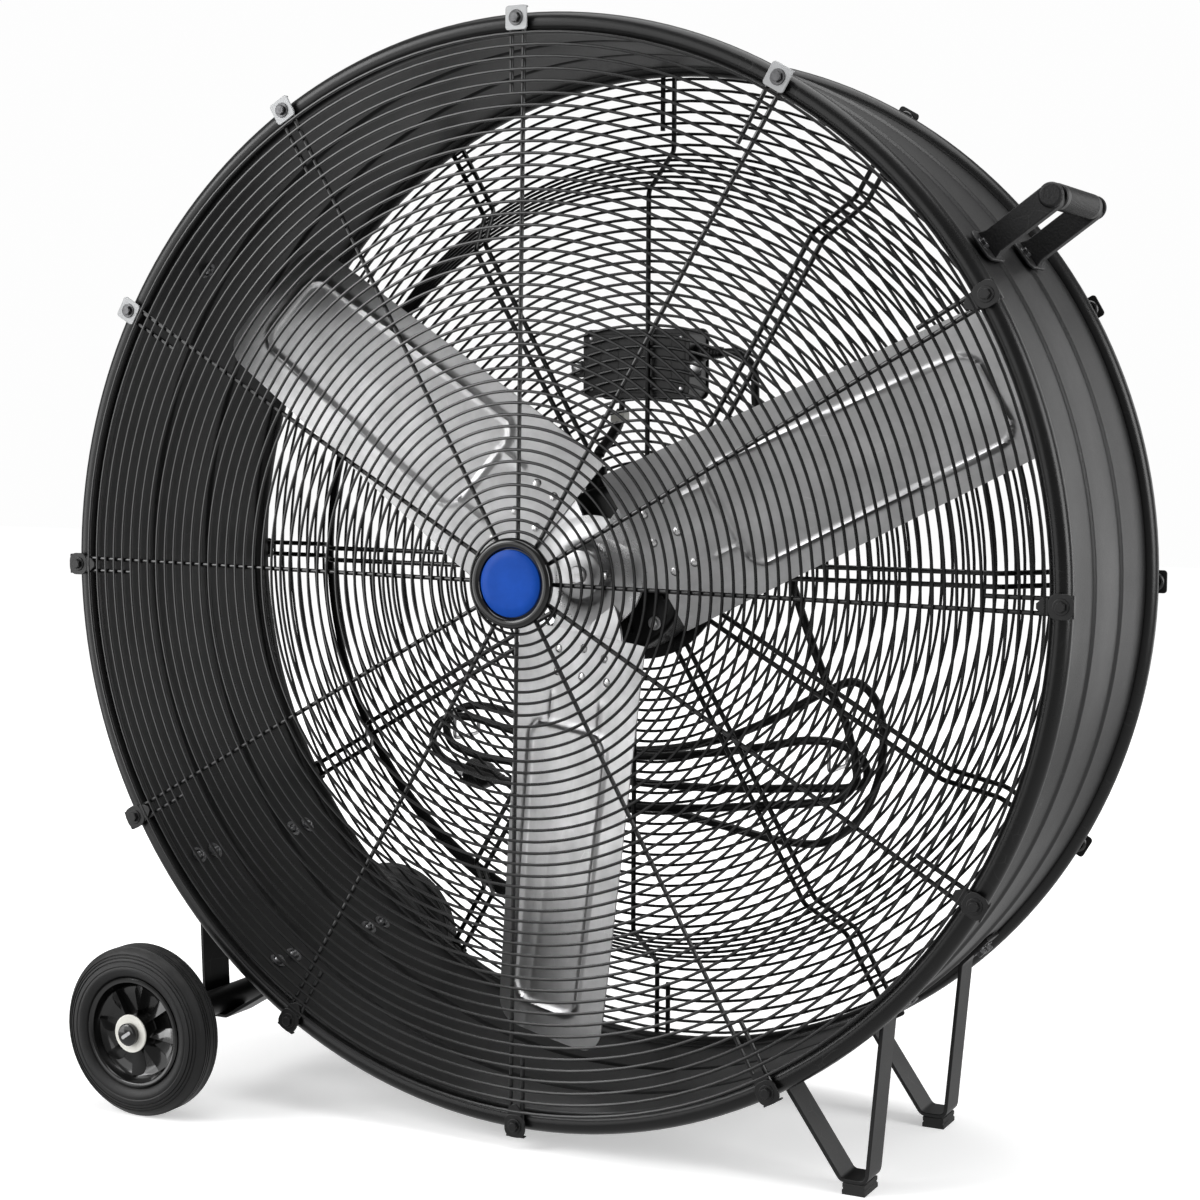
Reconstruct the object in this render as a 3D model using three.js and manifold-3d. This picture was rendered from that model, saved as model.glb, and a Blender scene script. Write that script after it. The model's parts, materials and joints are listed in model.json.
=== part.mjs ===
// Drum fan of the 42-inch class: a rolled steel drum with wire guards at both ends, a direct-drive
// three-blade rotor, and a stand of bent straps with two wheels on the left and two feet on the right.
// Millimetres, +Z up. Seen from the front (the guard with the badge) X runs to the right, and Y runs
// back along the fan's axis. The origin is on the floor, midway between the two wheels, under the axis.
import * as THREE from 'three';
import { mergeVertices } from 'three/addons/utils/BufferGeometryUtils.js';
import Module from 'manifold-3d';

const wasm = await Module();
wasm.setup();

// ---------------------------------------------------------------- driving dimensions
const CLEARANCE = 0.3; // between pieces that touch
const RUNNING_GAP = 0.5; // between pieces that turn on each other
const WELD = 0.8; // how far welded bars and plates sink into each other
const CROSSING_WELD = 1.6; // how far crossing wires sink into each other
const WIRE_CORNER = 0.7775; // corner radius, per wire diameter, of a three-sided section of the same area

// drum
const DRUM_RADIUS = 556; // outside of the sheet
const DRUM_SHEET = 2;
const BEAD_RADIUS = 11; // rolled edge at each end
const FLOOR_CLEARANCE = 18; // under the rolled edges
const AXIS_HEIGHT = DRUM_RADIUS + BEAD_RADIUS + FLOOR_CLEARANCE;
const BEAD_SPACING = 321; // between the middles of the two rolled edges
const DRUM_MIDDLE = 8; // the drum sits this far behind the stand's middle
const SWAGE_OFFSET = 50; // pressed ribs, each side of the drum's middle
const SWAGE_WIDTH = 14;
const SWAGE_HEIGHT = 3;
const DRUM_SEGMENTS = 48;

// wire guards
const SPOKE_COUNT = 12;
const CLAMP_OFFSET = 4; // the bolts that hold both guards lie this far outside the sheet
const CLAMP_CIRCLE = DRUM_RADIUS + CLAMP_OFFSET;
const HAIRPIN_GAP = 14; // between the two legs of a bent spoke
const SHORT_LEG = 72; // the leg that stops just inside the rim
const FRONT_SPOKE_WIRE = 4.6;
const FRONT_RING_WIRE = 3.2;
const FRONT_RINGS = 8;
const REAR_SPOKE_WIRE = 5.6;
const REAR_RING_WIRE = 3.4;
const OUTER_RING_INSET = 17; // both guards' outermost rings lie this far inside the bolts
const OUTER_RING_RADIUS = CLAMP_CIRCLE - OUTER_RING_INSET;
const FRONT_INNER_RING_RADIUS = 46;
const FRONT_CENTRE_PLATE_RADIUS = 38;
const CENTRE_PLATE_THICKNESS = 2.5;
const RIM_WIDTH = 78; // of the rear guard's flat rim, from its outermost ring
const CONE_WIDTH = 50; // from the flat rim to the flat middle, across the axis
const DISH_OUTER_RADIUS = OUTER_RING_RADIUS - RIM_WIDTH;
const DISH_INNER_RADIUS = DISH_OUTER_RADIUS - CONE_WIDTH;
const DISH_DEPTH = 64; // the middle lies this far in front of the rim
const REAR_RIM_RINGS = 1;
const REAR_CONE_RINGS = 1;
const REAR_MIDDLE_RINGS = 4;

// guard clamps
const CLAMP_SIZE = 24;
const CLAMP_PLATE = 2.2;
const CLAMP_BOLT_RADIUS = 2.6;
const CLAMP_HEAD_RADIUS = 5.6;
const CLAMP_HEAD_HEIGHT = 3.6;

// badge in the middle of the front guard
const BEZEL_RADIUS = 46;
const BEZEL_DEPTH = 11;
const BEZEL_LIP = 10;
const DISC_THICKNESS = 3;

// rotor
const BLADE_COUNT = 3;
const BLADE_FIRST_ANGLE = 65; // clockwise from the top, seen from the front
const BLADE_TIP_GAP = 40; // from the outside of the sheet
const BLADE_TIP_RADIUS = DRUM_RADIUS - BLADE_TIP_GAP;
const BLADE_ROOT_RADIUS = 66;
const BLADE_THICKNESS = 2.4;
const BLADE_PITCH = 17; // degrees
const BLADE_MIDDLE = -4; // where the blade's middle line crosses the fan axis, along Y
const BLADE_CAMBER = 9;
const BLADE_LEADING_ROOT = 97; // half widths either side of the radial line
const BLADE_LEADING_TIP = 84;
const BLADE_TRAILING_ROOT = 84;
const BLADE_TRAILING_TIP = 68;
const BLADE_CORNER = 26;
const PANEL_START_RADIUS = 170; // pressed stiffening panel
const PANEL_END_GAP = 28; // from the blade's tip
const PANEL_END_RADIUS = BLADE_TIP_RADIUS - PANEL_END_GAP;
const PANEL_SHARE = 0.68; // of the blade's half width
const PANEL_RIDGE = 3;
const RIVET_CIRCLE = 113;
const RIVET_INNER_CIRCLE = 82;
const RIVET_SPREAD = 36;
const RIVET_RADIUS = 5;
const RIVET_HEIGHT = 2.2;
const SPIDER_ARM_END = 132;
const SPIDER_ARM_HALF_WIDTH = 52;
const SPIDER_PLATE = 4;
const HUB_RADIUS = 27;
const HUB_FRONT = -34;
const HUB_LENGTH = 60;
const HUB_CONE_RADIUS = 62;

// motor
const MOTOR_RADIUS = 92;
const MOTOR_WALL = 4;
const MOTOR_BELL_DEPTH = 20;
const MOTOR_SHELL_LENGTH = 40;
const SHAFT_RADIUS = 9.5;
const BEARING_RADIUS = 20;
const BEARING_WIDTH = 11;
const STATOR_BORE = 52;
const STATOR_LENGTH = 34;
const MOUNT_RING_INNER = 66;
const MOUNT_RING_OUTER = 104;
const MOUNT_RING_PLATE = 4;

// switch box on the rear guard
const BOX_X = -12;
const BOX_HEIGHT_ABOVE_AXIS = 226;
const BOX_WIDTH = 132;
const BOX_HEIGHT = 76;
const BOX_DEPTH = 46;
const BOX_WALL = 3;
const BOX_CORNER = 9;
const BOX_COVER = 4;
const KNOB_RADIUS = 19;
const KNOB_DEPTH = 17;
const KNOB_SPINDLE_RADIUS = 4;
const EAR_WIDTH = 15;
const EAR_THICKNESS = 3;

// cords
const CORD_DIAMETER = 9.5;
const LEAD_DIAMETER = 7;
const GLAND_LENGTH = 30;
const GLAND_RADIUS = 10;
const PLUG_LENGTH = 48;
const PLUG_RADIUS = 16;
const BLADE_PIN_LENGTH = 18;
const HOOK_WIRE = 4.5;
const HOOK_REACH = 56;
const HOOK_LIP = 16;
const HOOK_LEG = 34;
const HOOK_RIGHT_X = 224;
const HOOK_RIGHT_DROP = 2.7; // from the ring that carries the hook down to its bend
const HOOK_LEFT_X = -248;
const HOOK_LEFT_DROP = 27;
const CORD_STANDOFF = 8.7; // the middle of the nearest run of cord, behind the rear guard
const CORD_RUN_STEP = 11.5; // each run lies this far behind the one before

// handle
const HANDLE_ANGLE = 54; // clockwise from the top
const GRIP_REACH = 82; // from the drum to the middle of the grip
const GRIP_DIAMETER = 25;
const GRIP_LENGTH = 160;
const GRIP_WALL = 2.5;
const ARM_SPACING = 136;
const ARM_WIDTH = 25;
const ARM_THICKNESS = 13;
const FLANGE_LENGTH = 56;
const FLANGE_WIDTH = 34;
const FLANGE_PLATE = 3;

// stand
const STRAP_THICKNESS = 4;
const WHEEL_STRAP_WIDTH = 46;
const WHEEL_STRAP_SPACING = 185;
const WHEEL_INSET = 141; // the wheels' axis, inside the drum's left side
const WHEEL_X = WHEEL_INSET - DRUM_RADIUS;
const WHEEL_RADIUS = 92;
const WHEEL_WIDTH = 43;
const WHEEL_SPACING = 497.5; // between the middles of the two tyres
const TYRE_INNER_RADIUS = 60;
const RIM_LIP_DEPTH = 3;
const WHEEL_VANES = 6;
const WHEEL_HUB_RADIUS = 19;
const AXLE_RADIUS = 8;
const AXLE_TUBE_RADIUS = 14;
const AXLE_TUBE_BORE = 8.6;
const WASHER_RADIUS = 20.5;
const WASHER_THICKNESS = 2;
const AXLE_CAP_RADIUS = 12;
const AXLE_CAP_LENGTH = 7;
const FOOT_STRAP_WIDTH = 37;
const FOOT_SPACING = 237;
const FOOT_INSET = 198; // the middle of the feet, inside the drum's right side
const FOOT_X = DRUM_RADIUS - FOOT_INSET;
const FOOT_FLAT = 26;
const FOOT_PAD_HEIGHT = 11.2;
const FOOT_PAD_LENGTH = 24;
const TAB_STANDOFF = 0.55; // the ends of a straight tab stand this much further off the round drum
const UPPER_WHEEL_ARM_ANGLE = 231.6; // where each arm meets the drum, clockwise from the top
const UPPER_WHEEL_TAB_ANGLE = 236.4;
const LOWER_WHEEL_ARM_ANGLE = 214.9;
const LOWER_WHEEL_TAB_ANGLE = 219.6;
const INNER_FOOT_ARM_ANGLE = 149.6;
const INNER_FOOT_TAB_ANGLE = 153.6;
const OUTER_FOOT_ARM_ANGLE = 136.4;
const OUTER_FOOT_TAB_ANGLE = 132.2;

// ---------------------------------------------------------------- sizes that follow from them
const FRONT_BEAD_Y = DRUM_MIDDLE - BEAD_SPACING / 2;
const REAR_BEAD_Y = DRUM_MIDDLE + BEAD_SPACING / 2;
const FRONT_SPOKE_CORNER = FRONT_SPOKE_WIRE * WIRE_CORNER;
const FRONT_RING_HALF = FRONT_RING_WIRE * WIRE_CORNER * Math.sin(Math.PI / 3);
const REAR_SPOKE_CORNER = REAR_SPOKE_WIRE * WIRE_CORNER;
const REAR_RING_HALF = REAR_RING_WIRE * WIRE_CORNER * Math.sin(Math.PI / 3);
const FRONT_SPOKE_Y = FRONT_BEAD_Y - BEAD_RADIUS - CLEARANCE - FRONT_SPOKE_CORNER / 2;
const FRONT_RING_Y = FRONT_SPOKE_Y - FRONT_SPOKE_CORNER - FRONT_RING_HALF + CROSSING_WELD;
const FRONT_FACE_Y = FRONT_RING_Y - FRONT_RING_HALF;
const REAR_RIM_Y = REAR_BEAD_Y + BEAD_RADIUS + CLEARANCE + REAR_SPOKE_CORNER / 2;
const REAR_MIDDLE_Y = REAR_RIM_Y - DISH_DEPTH;
const REAR_RING_STEP = REAR_SPOKE_CORNER + REAR_RING_HALF - CROSSING_WELD;
const REAR_BACK_Y = REAR_MIDDLE_Y + REAR_RING_STEP + REAR_RING_HALF;
const MOUNT_PLATE_BACK_Y = REAR_MIDDLE_Y - REAR_SPOKE_CORNER / 2 + WELD;
const MOTOR_REAR_Y = MOUNT_PLATE_BACK_Y - MOUNT_RING_PLATE - CLEARANCE;
const MOTOR_FRONT_Y = MOTOR_REAR_Y - 2 * MOTOR_BELL_DEPTH - MOTOR_SHELL_LENGTH;
const BOX_FRONT_Y = REAR_BACK_Y + CLEARANCE;
const STRAP_SEAT_RADIUS = DRUM_RADIUS + CLEARANCE + STRAP_THICKNESS / 2 + TAB_STANDOFF;

// ---------------------------------------------------------------- finishes
const finish = (color, roughness, metalness) => {
  return new THREE.MeshStandardMaterial({ color, roughness, metalness });
};
const blackSheet = finish(0x17181a, 0.5, 0.4);
const blackWire = finish(0x101112, 0.4, 0.5);
const greyPlate = finish(0x8b8d8e, 0.4, 0.7);
const aluminium = finish(0xb9babb, 0.33, 0.95);
const steel = finish(0xa8a9aa, 0.3, 1);
const motorBlack = finish(0x0c0c0d, 0.55, 0.3);
const plastic = finish(0x151515, 0.5, 0);
const rubber = finish(0x1a1a1b, 0.85, 0);
const rimPlastic = finish(0x0f0f10, 0.35, 0);
const whiteNylon = finish(0xdcdcd4, 0.5, 0);
const badgeBlue = finish(0x0f4fb4, 0.35, 0);
const cordRubber = finish(0x131313, 0.6, 0);
const copper = finish(0x9a5a2c, 0.4, 0.9);

// ---------------------------------------------------------------- helpers
const radians = THREE.MathUtils.degToRad;
const point = (x, y, z) => new THREE.Vector3(x, y, z);

/** A point on a circle round the fan axis: angle clockwise from the top, height above the floor. */
function aroundAxis(radius, degrees, y = 0) {
  const angle = radians(degrees);
  return point(radius * Math.sin(angle), y, AXIS_HEIGHT + radius * Math.cos(angle));
}

/** The geometry with shared vertices, no slivers, and its faces pointing out. */
function closed(geometry) {
  const bare = new THREE.BufferGeometry();
  bare.setAttribute('position', geometry.getAttribute('position').clone());
  if (geometry.index) bare.setIndex(geometry.index.clone());
  const merged = mergeVertices(bare, 1e-4);
  const places = merged.getAttribute('position');
  const corners = [];
  let volume = 0;
  const [a, b, c] = [point(), point(), point()];
  for (let i = 0; i < merged.index.count; i += 3) {
    const face = [merged.index.getX(i), merged.index.getX(i + 1), merged.index.getX(i + 2)];
    if (new Set(face).size < 3) continue;
    corners.push(...face);
    a.fromBufferAttribute(places, face[0]);
    b.fromBufferAttribute(places, face[1]);
    c.fromBufferAttribute(places, face[2]);
    volume += a.dot(b.cross(c));
  }
  if (volume < 0) corners.reverse();
  merged.setIndex(corners);
  return merged;
}

/** A solid for cutting and joining. */
function solid(geometry) {
  const shape = closed(geometry);
  const vertProperties = new Float32Array(shape.getAttribute('position').array);
  const triVerts = new Uint32Array(shape.index.array);
  return new wasm.Manifold(new wasm.Mesh({ numProp: 3, vertProperties, triVerts })).asOriginal();
}

/** The geometry of a joined or cut solid. */
function geometryOf(body) {
  const { numProp, vertProperties, triVerts } = body.asOriginal().simplify(0.06).getMesh();
  const geometry = new THREE.BufferGeometry();
  const places = new Float32Array((vertProperties.length / numProp) * 3);
  for (let i = 0; i < places.length / 3; i += 1) {
    places.set(vertProperties.subarray(i * numProp, i * numProp + 3), i * 3);
  }
  geometry.setAttribute('position', new THREE.BufferAttribute(places, 3));
  geometry.setIndex(new THREE.BufferAttribute(new Uint32Array(triVerts), 1));
  return geometry;
}

const join = (parts) => geometryOf(wasm.Manifold.union(parts.map(solid)));

function cut(geometry, tools) {
  return geometryOf(solid(geometry).subtract(wasm.Manifold.union(tools.map(solid))));
}

function mesh(name, geometry, material) {
  const result = new THREE.Mesh(closed(geometry), material);
  result.name = name;
  return result;
}

/** A turned piece: profile points are [radius, y] pairs, turned about the Y axis. */
function turned(profile, segments) {
  return new THREE.LatheGeometry(profile.map(([r, y]) => new THREE.Vector2(r, y)), segments);
}

/** A plain tube or disc along Y, with a bore when inner is above zero. */
function ringSolid(inner, outer, from, to, segments) {
  if (inner <= 0) return turned([[0, from], [outer, from], [outer, to], [0, to]], segments);
  return turned([[inner, from], [outer, from], [outer, to], [inner, to], [inner, from]], segments);
}

function box(width, depth, height, x = 0, y = 0, z = 0) {
  return new THREE.BoxGeometry(width, depth, height).translate(x, y, z);
}

/** An outline of [x, z] pairs pushed along Y from y = from, through the given depth. */
function extrudedAlongY(outline, from, depth, curveSegments = 4) {
  const isShape = outline instanceof THREE.Shape;
  const shape = isShape ? outline : new THREE.Shape(outline.map(([x, z]) => new THREE.Vector2(x, z)));
  const geometry = new THREE.ExtrudeGeometry(shape, { depth, bevelEnabled: false, curveSegments });
  return geometry.rotateX(Math.PI / 2).translate(0, from + depth, 0);
}

/** A rounded rectangle round the origin, as a shape in the XZ plane. */
function roundedRectangle(width, height, corner) {
  const [w, h] = [width / 2, height / 2];
  const shape = new THREE.Shape();
  shape.moveTo(-w + corner, -h);
  shape.lineTo(w - corner, -h);
  shape.quadraticCurveTo(w, -h, w, -h + corner);
  shape.lineTo(w, h - corner);
  shape.quadraticCurveTo(w, h, w - corner, h);
  shape.lineTo(-w + corner, h);
  shape.quadraticCurveTo(-w, h, -w, h - corner);
  shape.lineTo(-w, -h + corner);
  shape.quadraticCurveTo(-w, -h, -w + corner, -h);
  return shape;
}

/**
 * A round wire or cord with the given number of sides along a row of points, closed at both ends.
 * A three-sided wire in the XZ plane has its sharp corner to the front, or to the back when facing is -1.
 */
function sweptTube(points, radius, sides, facing = 1) {
  const places = [];
  const corners = [];
  let side = null;
  points.forEach((here, index) => {
    const before = points[Math.max(index - 1, 0)];
    const after = points[Math.min(index + 1, points.length - 1)];
    const tangent = after.clone().sub(before).normalize();
    if (side === null) {
      side = Math.abs(tangent.y) > 0.9 ? point(facing, 0, 0) : point(0, facing, 0);
    }
    side = side.clone().addScaledVector(tangent, -side.dot(tangent)).normalize();
    const up = tangent.clone().cross(side);
    for (let i = 0; i < sides; i += 1) {
      const turn = ((i + 0.5) / sides) * 2 * Math.PI;
      const place = here.clone().addScaledVector(side, radius * Math.cos(turn));
      place.addScaledVector(up, radius * Math.sin(turn));
      places.push(place.x, place.y, place.z);
    }
  });
  for (let ring = 0; ring < points.length - 1; ring += 1) {
    for (let i = 0; i < sides; i += 1) {
      const a = ring * sides + i;
      const b = ring * sides + ((i + 1) % sides);
      corners.push(a, b, a + sides, b, b + sides, a + sides);
    }
  }
  const last = (points.length - 1) * sides;
  for (let i = 1; i < sides - 1; i += 1) {
    corners.push(0, i + 1, i, last, last + i, last + i + 1);
  }
  const geometry = new THREE.BufferGeometry();
  geometry.setAttribute('position', new THREE.Float32BufferAttribute(places, 3));
  geometry.setIndex(corners);
  return geometry;
}

/** A closed wire ring round the fan axis; small rings have fewer steps. */
function wireRing(radius, y, diameter) {
  const steps = radius < 100 ? SPOKE_COUNT : 2 * SPOKE_COUNT;
  const ring = new THREE.TorusGeometry(radius, diameter * WIRE_CORNER, 3, steps);
  return ring.rotateX(Math.PI / 2).translate(0, y, 0);
}

/** Even steps from the first value to the last, both included. */
function evenly(first, last, count) {
  if (count < 2) return [first];
  return Array.from({ length: count }, (_, i) => first + ((last - first) * i) / (count - 1));
}

// ---------------------------------------------------------------- drum
/** Rolled sheet with a bead at each rim and two swages, all in one profile [radius, y]. */
function drumShell() {
  const inside = DRUM_RADIUS - DRUM_SHEET;
  const bead = (y, sign) => [-90, -30, 30, 90, 150, 205, 260].map((degrees) => {
    const angle = sign * radians(degrees);
    return [DRUM_RADIUS + BEAD_RADIUS * Math.cos(angle), y + BEAD_RADIUS * Math.sin(angle)];
  });
  const swage = (radius, middle) => [
    [radius, middle - SWAGE_WIDTH / 2],
    [radius + SWAGE_HEIGHT, middle],
    [radius, middle + SWAGE_WIDTH / 2],
  ];
  const swages = [DRUM_MIDDLE - SWAGE_OFFSET, DRUM_MIDDLE + SWAGE_OFFSET];
  const outer = swages.flatMap((middle) => swage(DRUM_RADIUS, middle));
  const inner = swages.flatMap((middle) => swage(inside, middle)).reverse();
  const rearBead = bead(REAR_BEAD_Y, 1);
  const frontBead = bead(FRONT_BEAD_Y, -1).reverse();
  const profile = [...outer, ...rearBead, ...inner, ...frontBead];
  profile.push(profile[0]);
  return mesh('drum_shell', turned(profile, DRUM_SEGMENTS), blackSheet);
}

// ---------------------------------------------------------------- guards
/** The bend of a hairpin round its bolt, from the long leg to the other, in the plane y = 0. */
function hairpinBend(y) {
  return evenly(0, 180, 4).map((degrees) => {
    const angle = radians(degrees);
    const x = (HAIRPIN_GAP / 2) * Math.cos(angle);
    return point(x, y, CLAMP_CIRCLE + (HAIRPIN_GAP / 2) * Math.sin(angle));
  });
}

function frontGuard() {
  const innerEnd = FRONT_CENTRE_PLATE_RADIUS - 8;
  const tilt = HAIRPIN_GAP / 2 / CLAMP_CIRCLE;
  const hairpin = [
    point(innerEnd * tilt, FRONT_SPOKE_Y, innerEnd),
    ...hairpinBend(FRONT_SPOKE_Y),
    point(-HAIRPIN_GAP / 2, FRONT_SPOKE_Y, CLAMP_CIRCLE - SHORT_LEG),
  ];
  const wires = [];
  for (let i = 0; i < SPOKE_COUNT; i += 1) {
    wires.push(sweptTube(hairpin, FRONT_SPOKE_CORNER, 3).rotateY((i * 2 * Math.PI) / SPOKE_COUNT));
  }
  for (const radius of evenly(FRONT_INNER_RING_RADIUS, OUTER_RING_RADIUS, FRONT_RINGS)) {
    wires.push(wireRing(radius, FRONT_RING_Y, FRONT_RING_WIRE));
  }
  const plateFront = FRONT_SPOKE_Y - CENTRE_PLATE_THICKNESS / 2;
  wires.push(ringSolid(0, FRONT_CENTRE_PLATE_RADIUS, plateFront, plateFront + CENTRE_PLATE_THICKNESS, 24));
  return mesh('front_guard', join(wires), blackWire);
}

/** Where the rear guard's spokes run at this radius: flat rim, cone, flat middle. */
function rearGuardY(radius) {
  const share = (radius - DISH_INNER_RADIUS) / (DISH_OUTER_RADIUS - DISH_INNER_RADIUS);
  return REAR_MIDDLE_Y + DISH_DEPTH * THREE.MathUtils.clamp(share, 0, 1);
}

const rearMiddleRings = evenly(MOUNT_RING_OUTER + 12, DISH_INNER_RADIUS - 8, REAR_MIDDLE_RINGS);

function rearGuard() {
  const half = HAIRPIN_GAP / 2;
  const legEnd = MOUNT_RING_INNER + 8;
  const leg = (x) => [legEnd, DISH_INNER_RADIUS, DISH_OUTER_RADIUS].map((r) => point(x, rearGuardY(r), r));
  const full = [...leg(half), ...hairpinBend(REAR_RIM_Y), ...leg(-half).reverse()];
  const shortEnd = point(-half, REAR_RIM_Y, CLAMP_CIRCLE - SHORT_LEG);
  const short = [...leg(half), ...hairpinBend(REAR_RIM_Y), shortEnd];
  const wires = [];
  for (let i = 0; i < SPOKE_COUNT; i += 1) {
    const turn = (i * 2 * Math.PI) / SPOKE_COUNT;
    const path = i % (SPOKE_COUNT / 2) === 0 ? short : full;
    wires.push(sweptTube(path, REAR_SPOKE_CORNER, 3, -1).rotateY(turn));
    const plateY = REAR_RIM_Y + REAR_SPOKE_CORNER / 2;
    const plate = box(CLAMP_SIZE, CLAMP_PLATE, CLAMP_SIZE, 0, plateY, CLAMP_CIRCLE);
    wires.push(plate.rotateY(turn));
  }
  const coneStep = (DISH_OUTER_RADIUS - DISH_INNER_RADIUS) / (REAR_CONE_RINGS + 1);
  const radii = [
    ...evenly(OUTER_RING_RADIUS, DISH_OUTER_RADIUS + 8, REAR_RIM_RINGS),
    ...evenly(DISH_INNER_RADIUS + coneStep, DISH_OUTER_RADIUS - coneStep, REAR_CONE_RINGS),
    ...rearMiddleRings,
  ];
  for (const radius of radii) {
    wires.push(wireRing(radius, rearGuardY(radius) + REAR_RING_STEP, REAR_RING_WIRE));
  }
  const plateFront = MOUNT_PLATE_BACK_Y - MOUNT_RING_PLATE;
  wires.push(ringSolid(MOUNT_RING_INNER, MOUNT_RING_OUTER, plateFront, MOUNT_PLATE_BACK_Y, 24));
  return mesh('rear_guard', join(wires), blackWire);
}

/** A pressed plate over the hairpin's bend, with its bolt through the loop. */
function frontClamp(index) {
  const back = FRONT_SPOKE_Y - FRONT_SPOKE_CORNER - CLEARANCE;
  const boltEnd = FRONT_BEAD_Y - BEAD_RADIUS - CLEARANCE;
  const headFront = back - CLAMP_PLATE - CLAMP_HEAD_HEIGHT;
  const parts = [
    box(CLAMP_SIZE, CLAMP_PLATE, CLAMP_SIZE, 0, back - CLAMP_PLATE / 2, 0),
    turned([
      [0, headFront], [CLAMP_HEAD_RADIUS, headFront], [CLAMP_HEAD_RADIUS, back - CLAMP_PLATE + WELD],
      [CLAMP_BOLT_RADIUS, back - WELD], [CLAMP_BOLT_RADIUS, boltEnd], [0, boltEnd],
    ], 6),
  ];
  const fromTop = Math.min(index, SPOKE_COUNT - index);
  const isGrey = fromTop < 2 || index === SPOKE_COUNT - 2;
  const clamp = mesh(`front_clamp_${index + 1}`, join(parts), isGrey ? greyPlate : blackWire);
  const angle = (index * 360) / SPOKE_COUNT;
  clamp.rotation.y = radians(angle);
  clamp.position.copy(aroundAxis(CLAMP_CIRCLE, angle));
  return clamp;
}

// ---------------------------------------------------------------- badge
function badge() {
  const back = FRONT_FACE_Y - CLEARANCE;
  const front = back - BEZEL_DEPTH;
  const discRadius = BEZEL_RADIUS - BEZEL_LIP;
  const pocket = front + DISC_THICKNESS + 2;
  const profile = [
    [0, back], [BEZEL_RADIUS - 2, back], [BEZEL_RADIUS, back - 3], [BEZEL_RADIUS - 1, front + 3],
    [BEZEL_RADIUS - 4, front], [discRadius + CLEARANCE, front + 1], [discRadius + CLEARANCE, pocket], [0, pocket],
  ];
  const disc = ringSolid(0, discRadius, pocket - CLEARANCE - DISC_THICKNESS, pocket - CLEARANCE, 24);
  return [mesh('badge_bezel', turned(profile, 24), plastic), mesh('badge_disc', disc, badgeBlue)];
}

// ---------------------------------------------------------------- rotor
/** Half width of a blade on its leading (+1) or trailing (-1) side at this radius. */
function bladeHalfWidth(side, radius) {
  const share = (radius - BLADE_ROOT_RADIUS) / (BLADE_TIP_RADIUS - BLADE_ROOT_RADIUS);
  const leading = [BLADE_LEADING_ROOT, BLADE_LEADING_TIP];
  const trailing = [BLADE_TRAILING_ROOT, BLADE_TRAILING_TIP];
  const [root, tip] = side > 0 ? leading : trailing;
  const toTip = BLADE_TIP_RADIUS - radius;
  const intoCorner = Math.max(0, BLADE_CORNER - toTip);
  const rounding = BLADE_CORNER - Math.sqrt(BLADE_CORNER ** 2 - intoCorner ** 2);
  return THREE.MathUtils.lerp(root, tip, share) - rounding;
}

/** Y of the blade's middle surface at a distance from its radial line; the camber flattens at the root. */
function bladeY(across, radius) {
  const rise = THREE.MathUtils.clamp((radius - SPIDER_ARM_END) / (BLADE_TIP_RADIUS - SPIDER_ARM_END), 0, 1);
  const bend = (across / BLADE_LEADING_ROOT) ** 2;
  return BLADE_MIDDLE + across * Math.tan(radians(BLADE_PITCH)) + BLADE_CAMBER * rise * (bend - 0.5);
}

/** A thin plate over a grid of stations: rows of radii, columns of places across, front and back faces. */
function gridPlate(radii, shares, acrossAt, yAt, thickness) {
  const columns = shares.length;
  const places = [];
  for (const offset of [-thickness / 2, thickness / 2]) {
    for (const radius of radii) {
      for (const share of shares) {
        const across = acrossAt(share, radius);
        places.push(across, yAt(across, radius, share) + offset, radius);
      }
    }
  }
  const corners = [];
  const sheet = radii.length * columns;
  const quad = (a, b, c, d) => corners.push(a, b, c, a, c, d);
  for (let r = 0; r < radii.length - 1; r += 1) {
    for (let c = 0; c < columns - 1; c += 1) {
      const a = r * columns + c;
      quad(a, a + 1, a + 1 + columns, a + columns);
      quad(sheet + a, sheet + a + columns, sheet + a + 1 + columns, sheet + a + 1);
    }
  }
  const lastRow = (radii.length - 1) * columns;
  for (let c = 0; c < columns - 1; c += 1) {
    quad(c, sheet + c, sheet + c + 1, c + 1);
    quad(lastRow + c, lastRow + c + 1, sheet + lastRow + c + 1, sheet + lastRow + c);
  }
  for (let r = 0; r < radii.length - 1; r += 1) {
    const a = r * columns;
    const b = a + columns - 1;
    quad(a, a + columns, sheet + a + columns, sheet + a);
    quad(b, sheet + b, sheet + b + columns, b + columns);
  }
  const geometry = new THREE.BufferGeometry();
  geometry.setAttribute('position', new THREE.Float32BufferAttribute(places, 3));
  geometry.setIndex(corners);
  return geometry;
}

const rivetPlaces = [
  [0, RIVET_INNER_CIRCLE],
  [-RIVET_SPREAD, RIVET_CIRCLE],
  [0, RIVET_CIRCLE],
  [RIVET_SPREAD, RIVET_CIRCLE],
];

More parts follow.
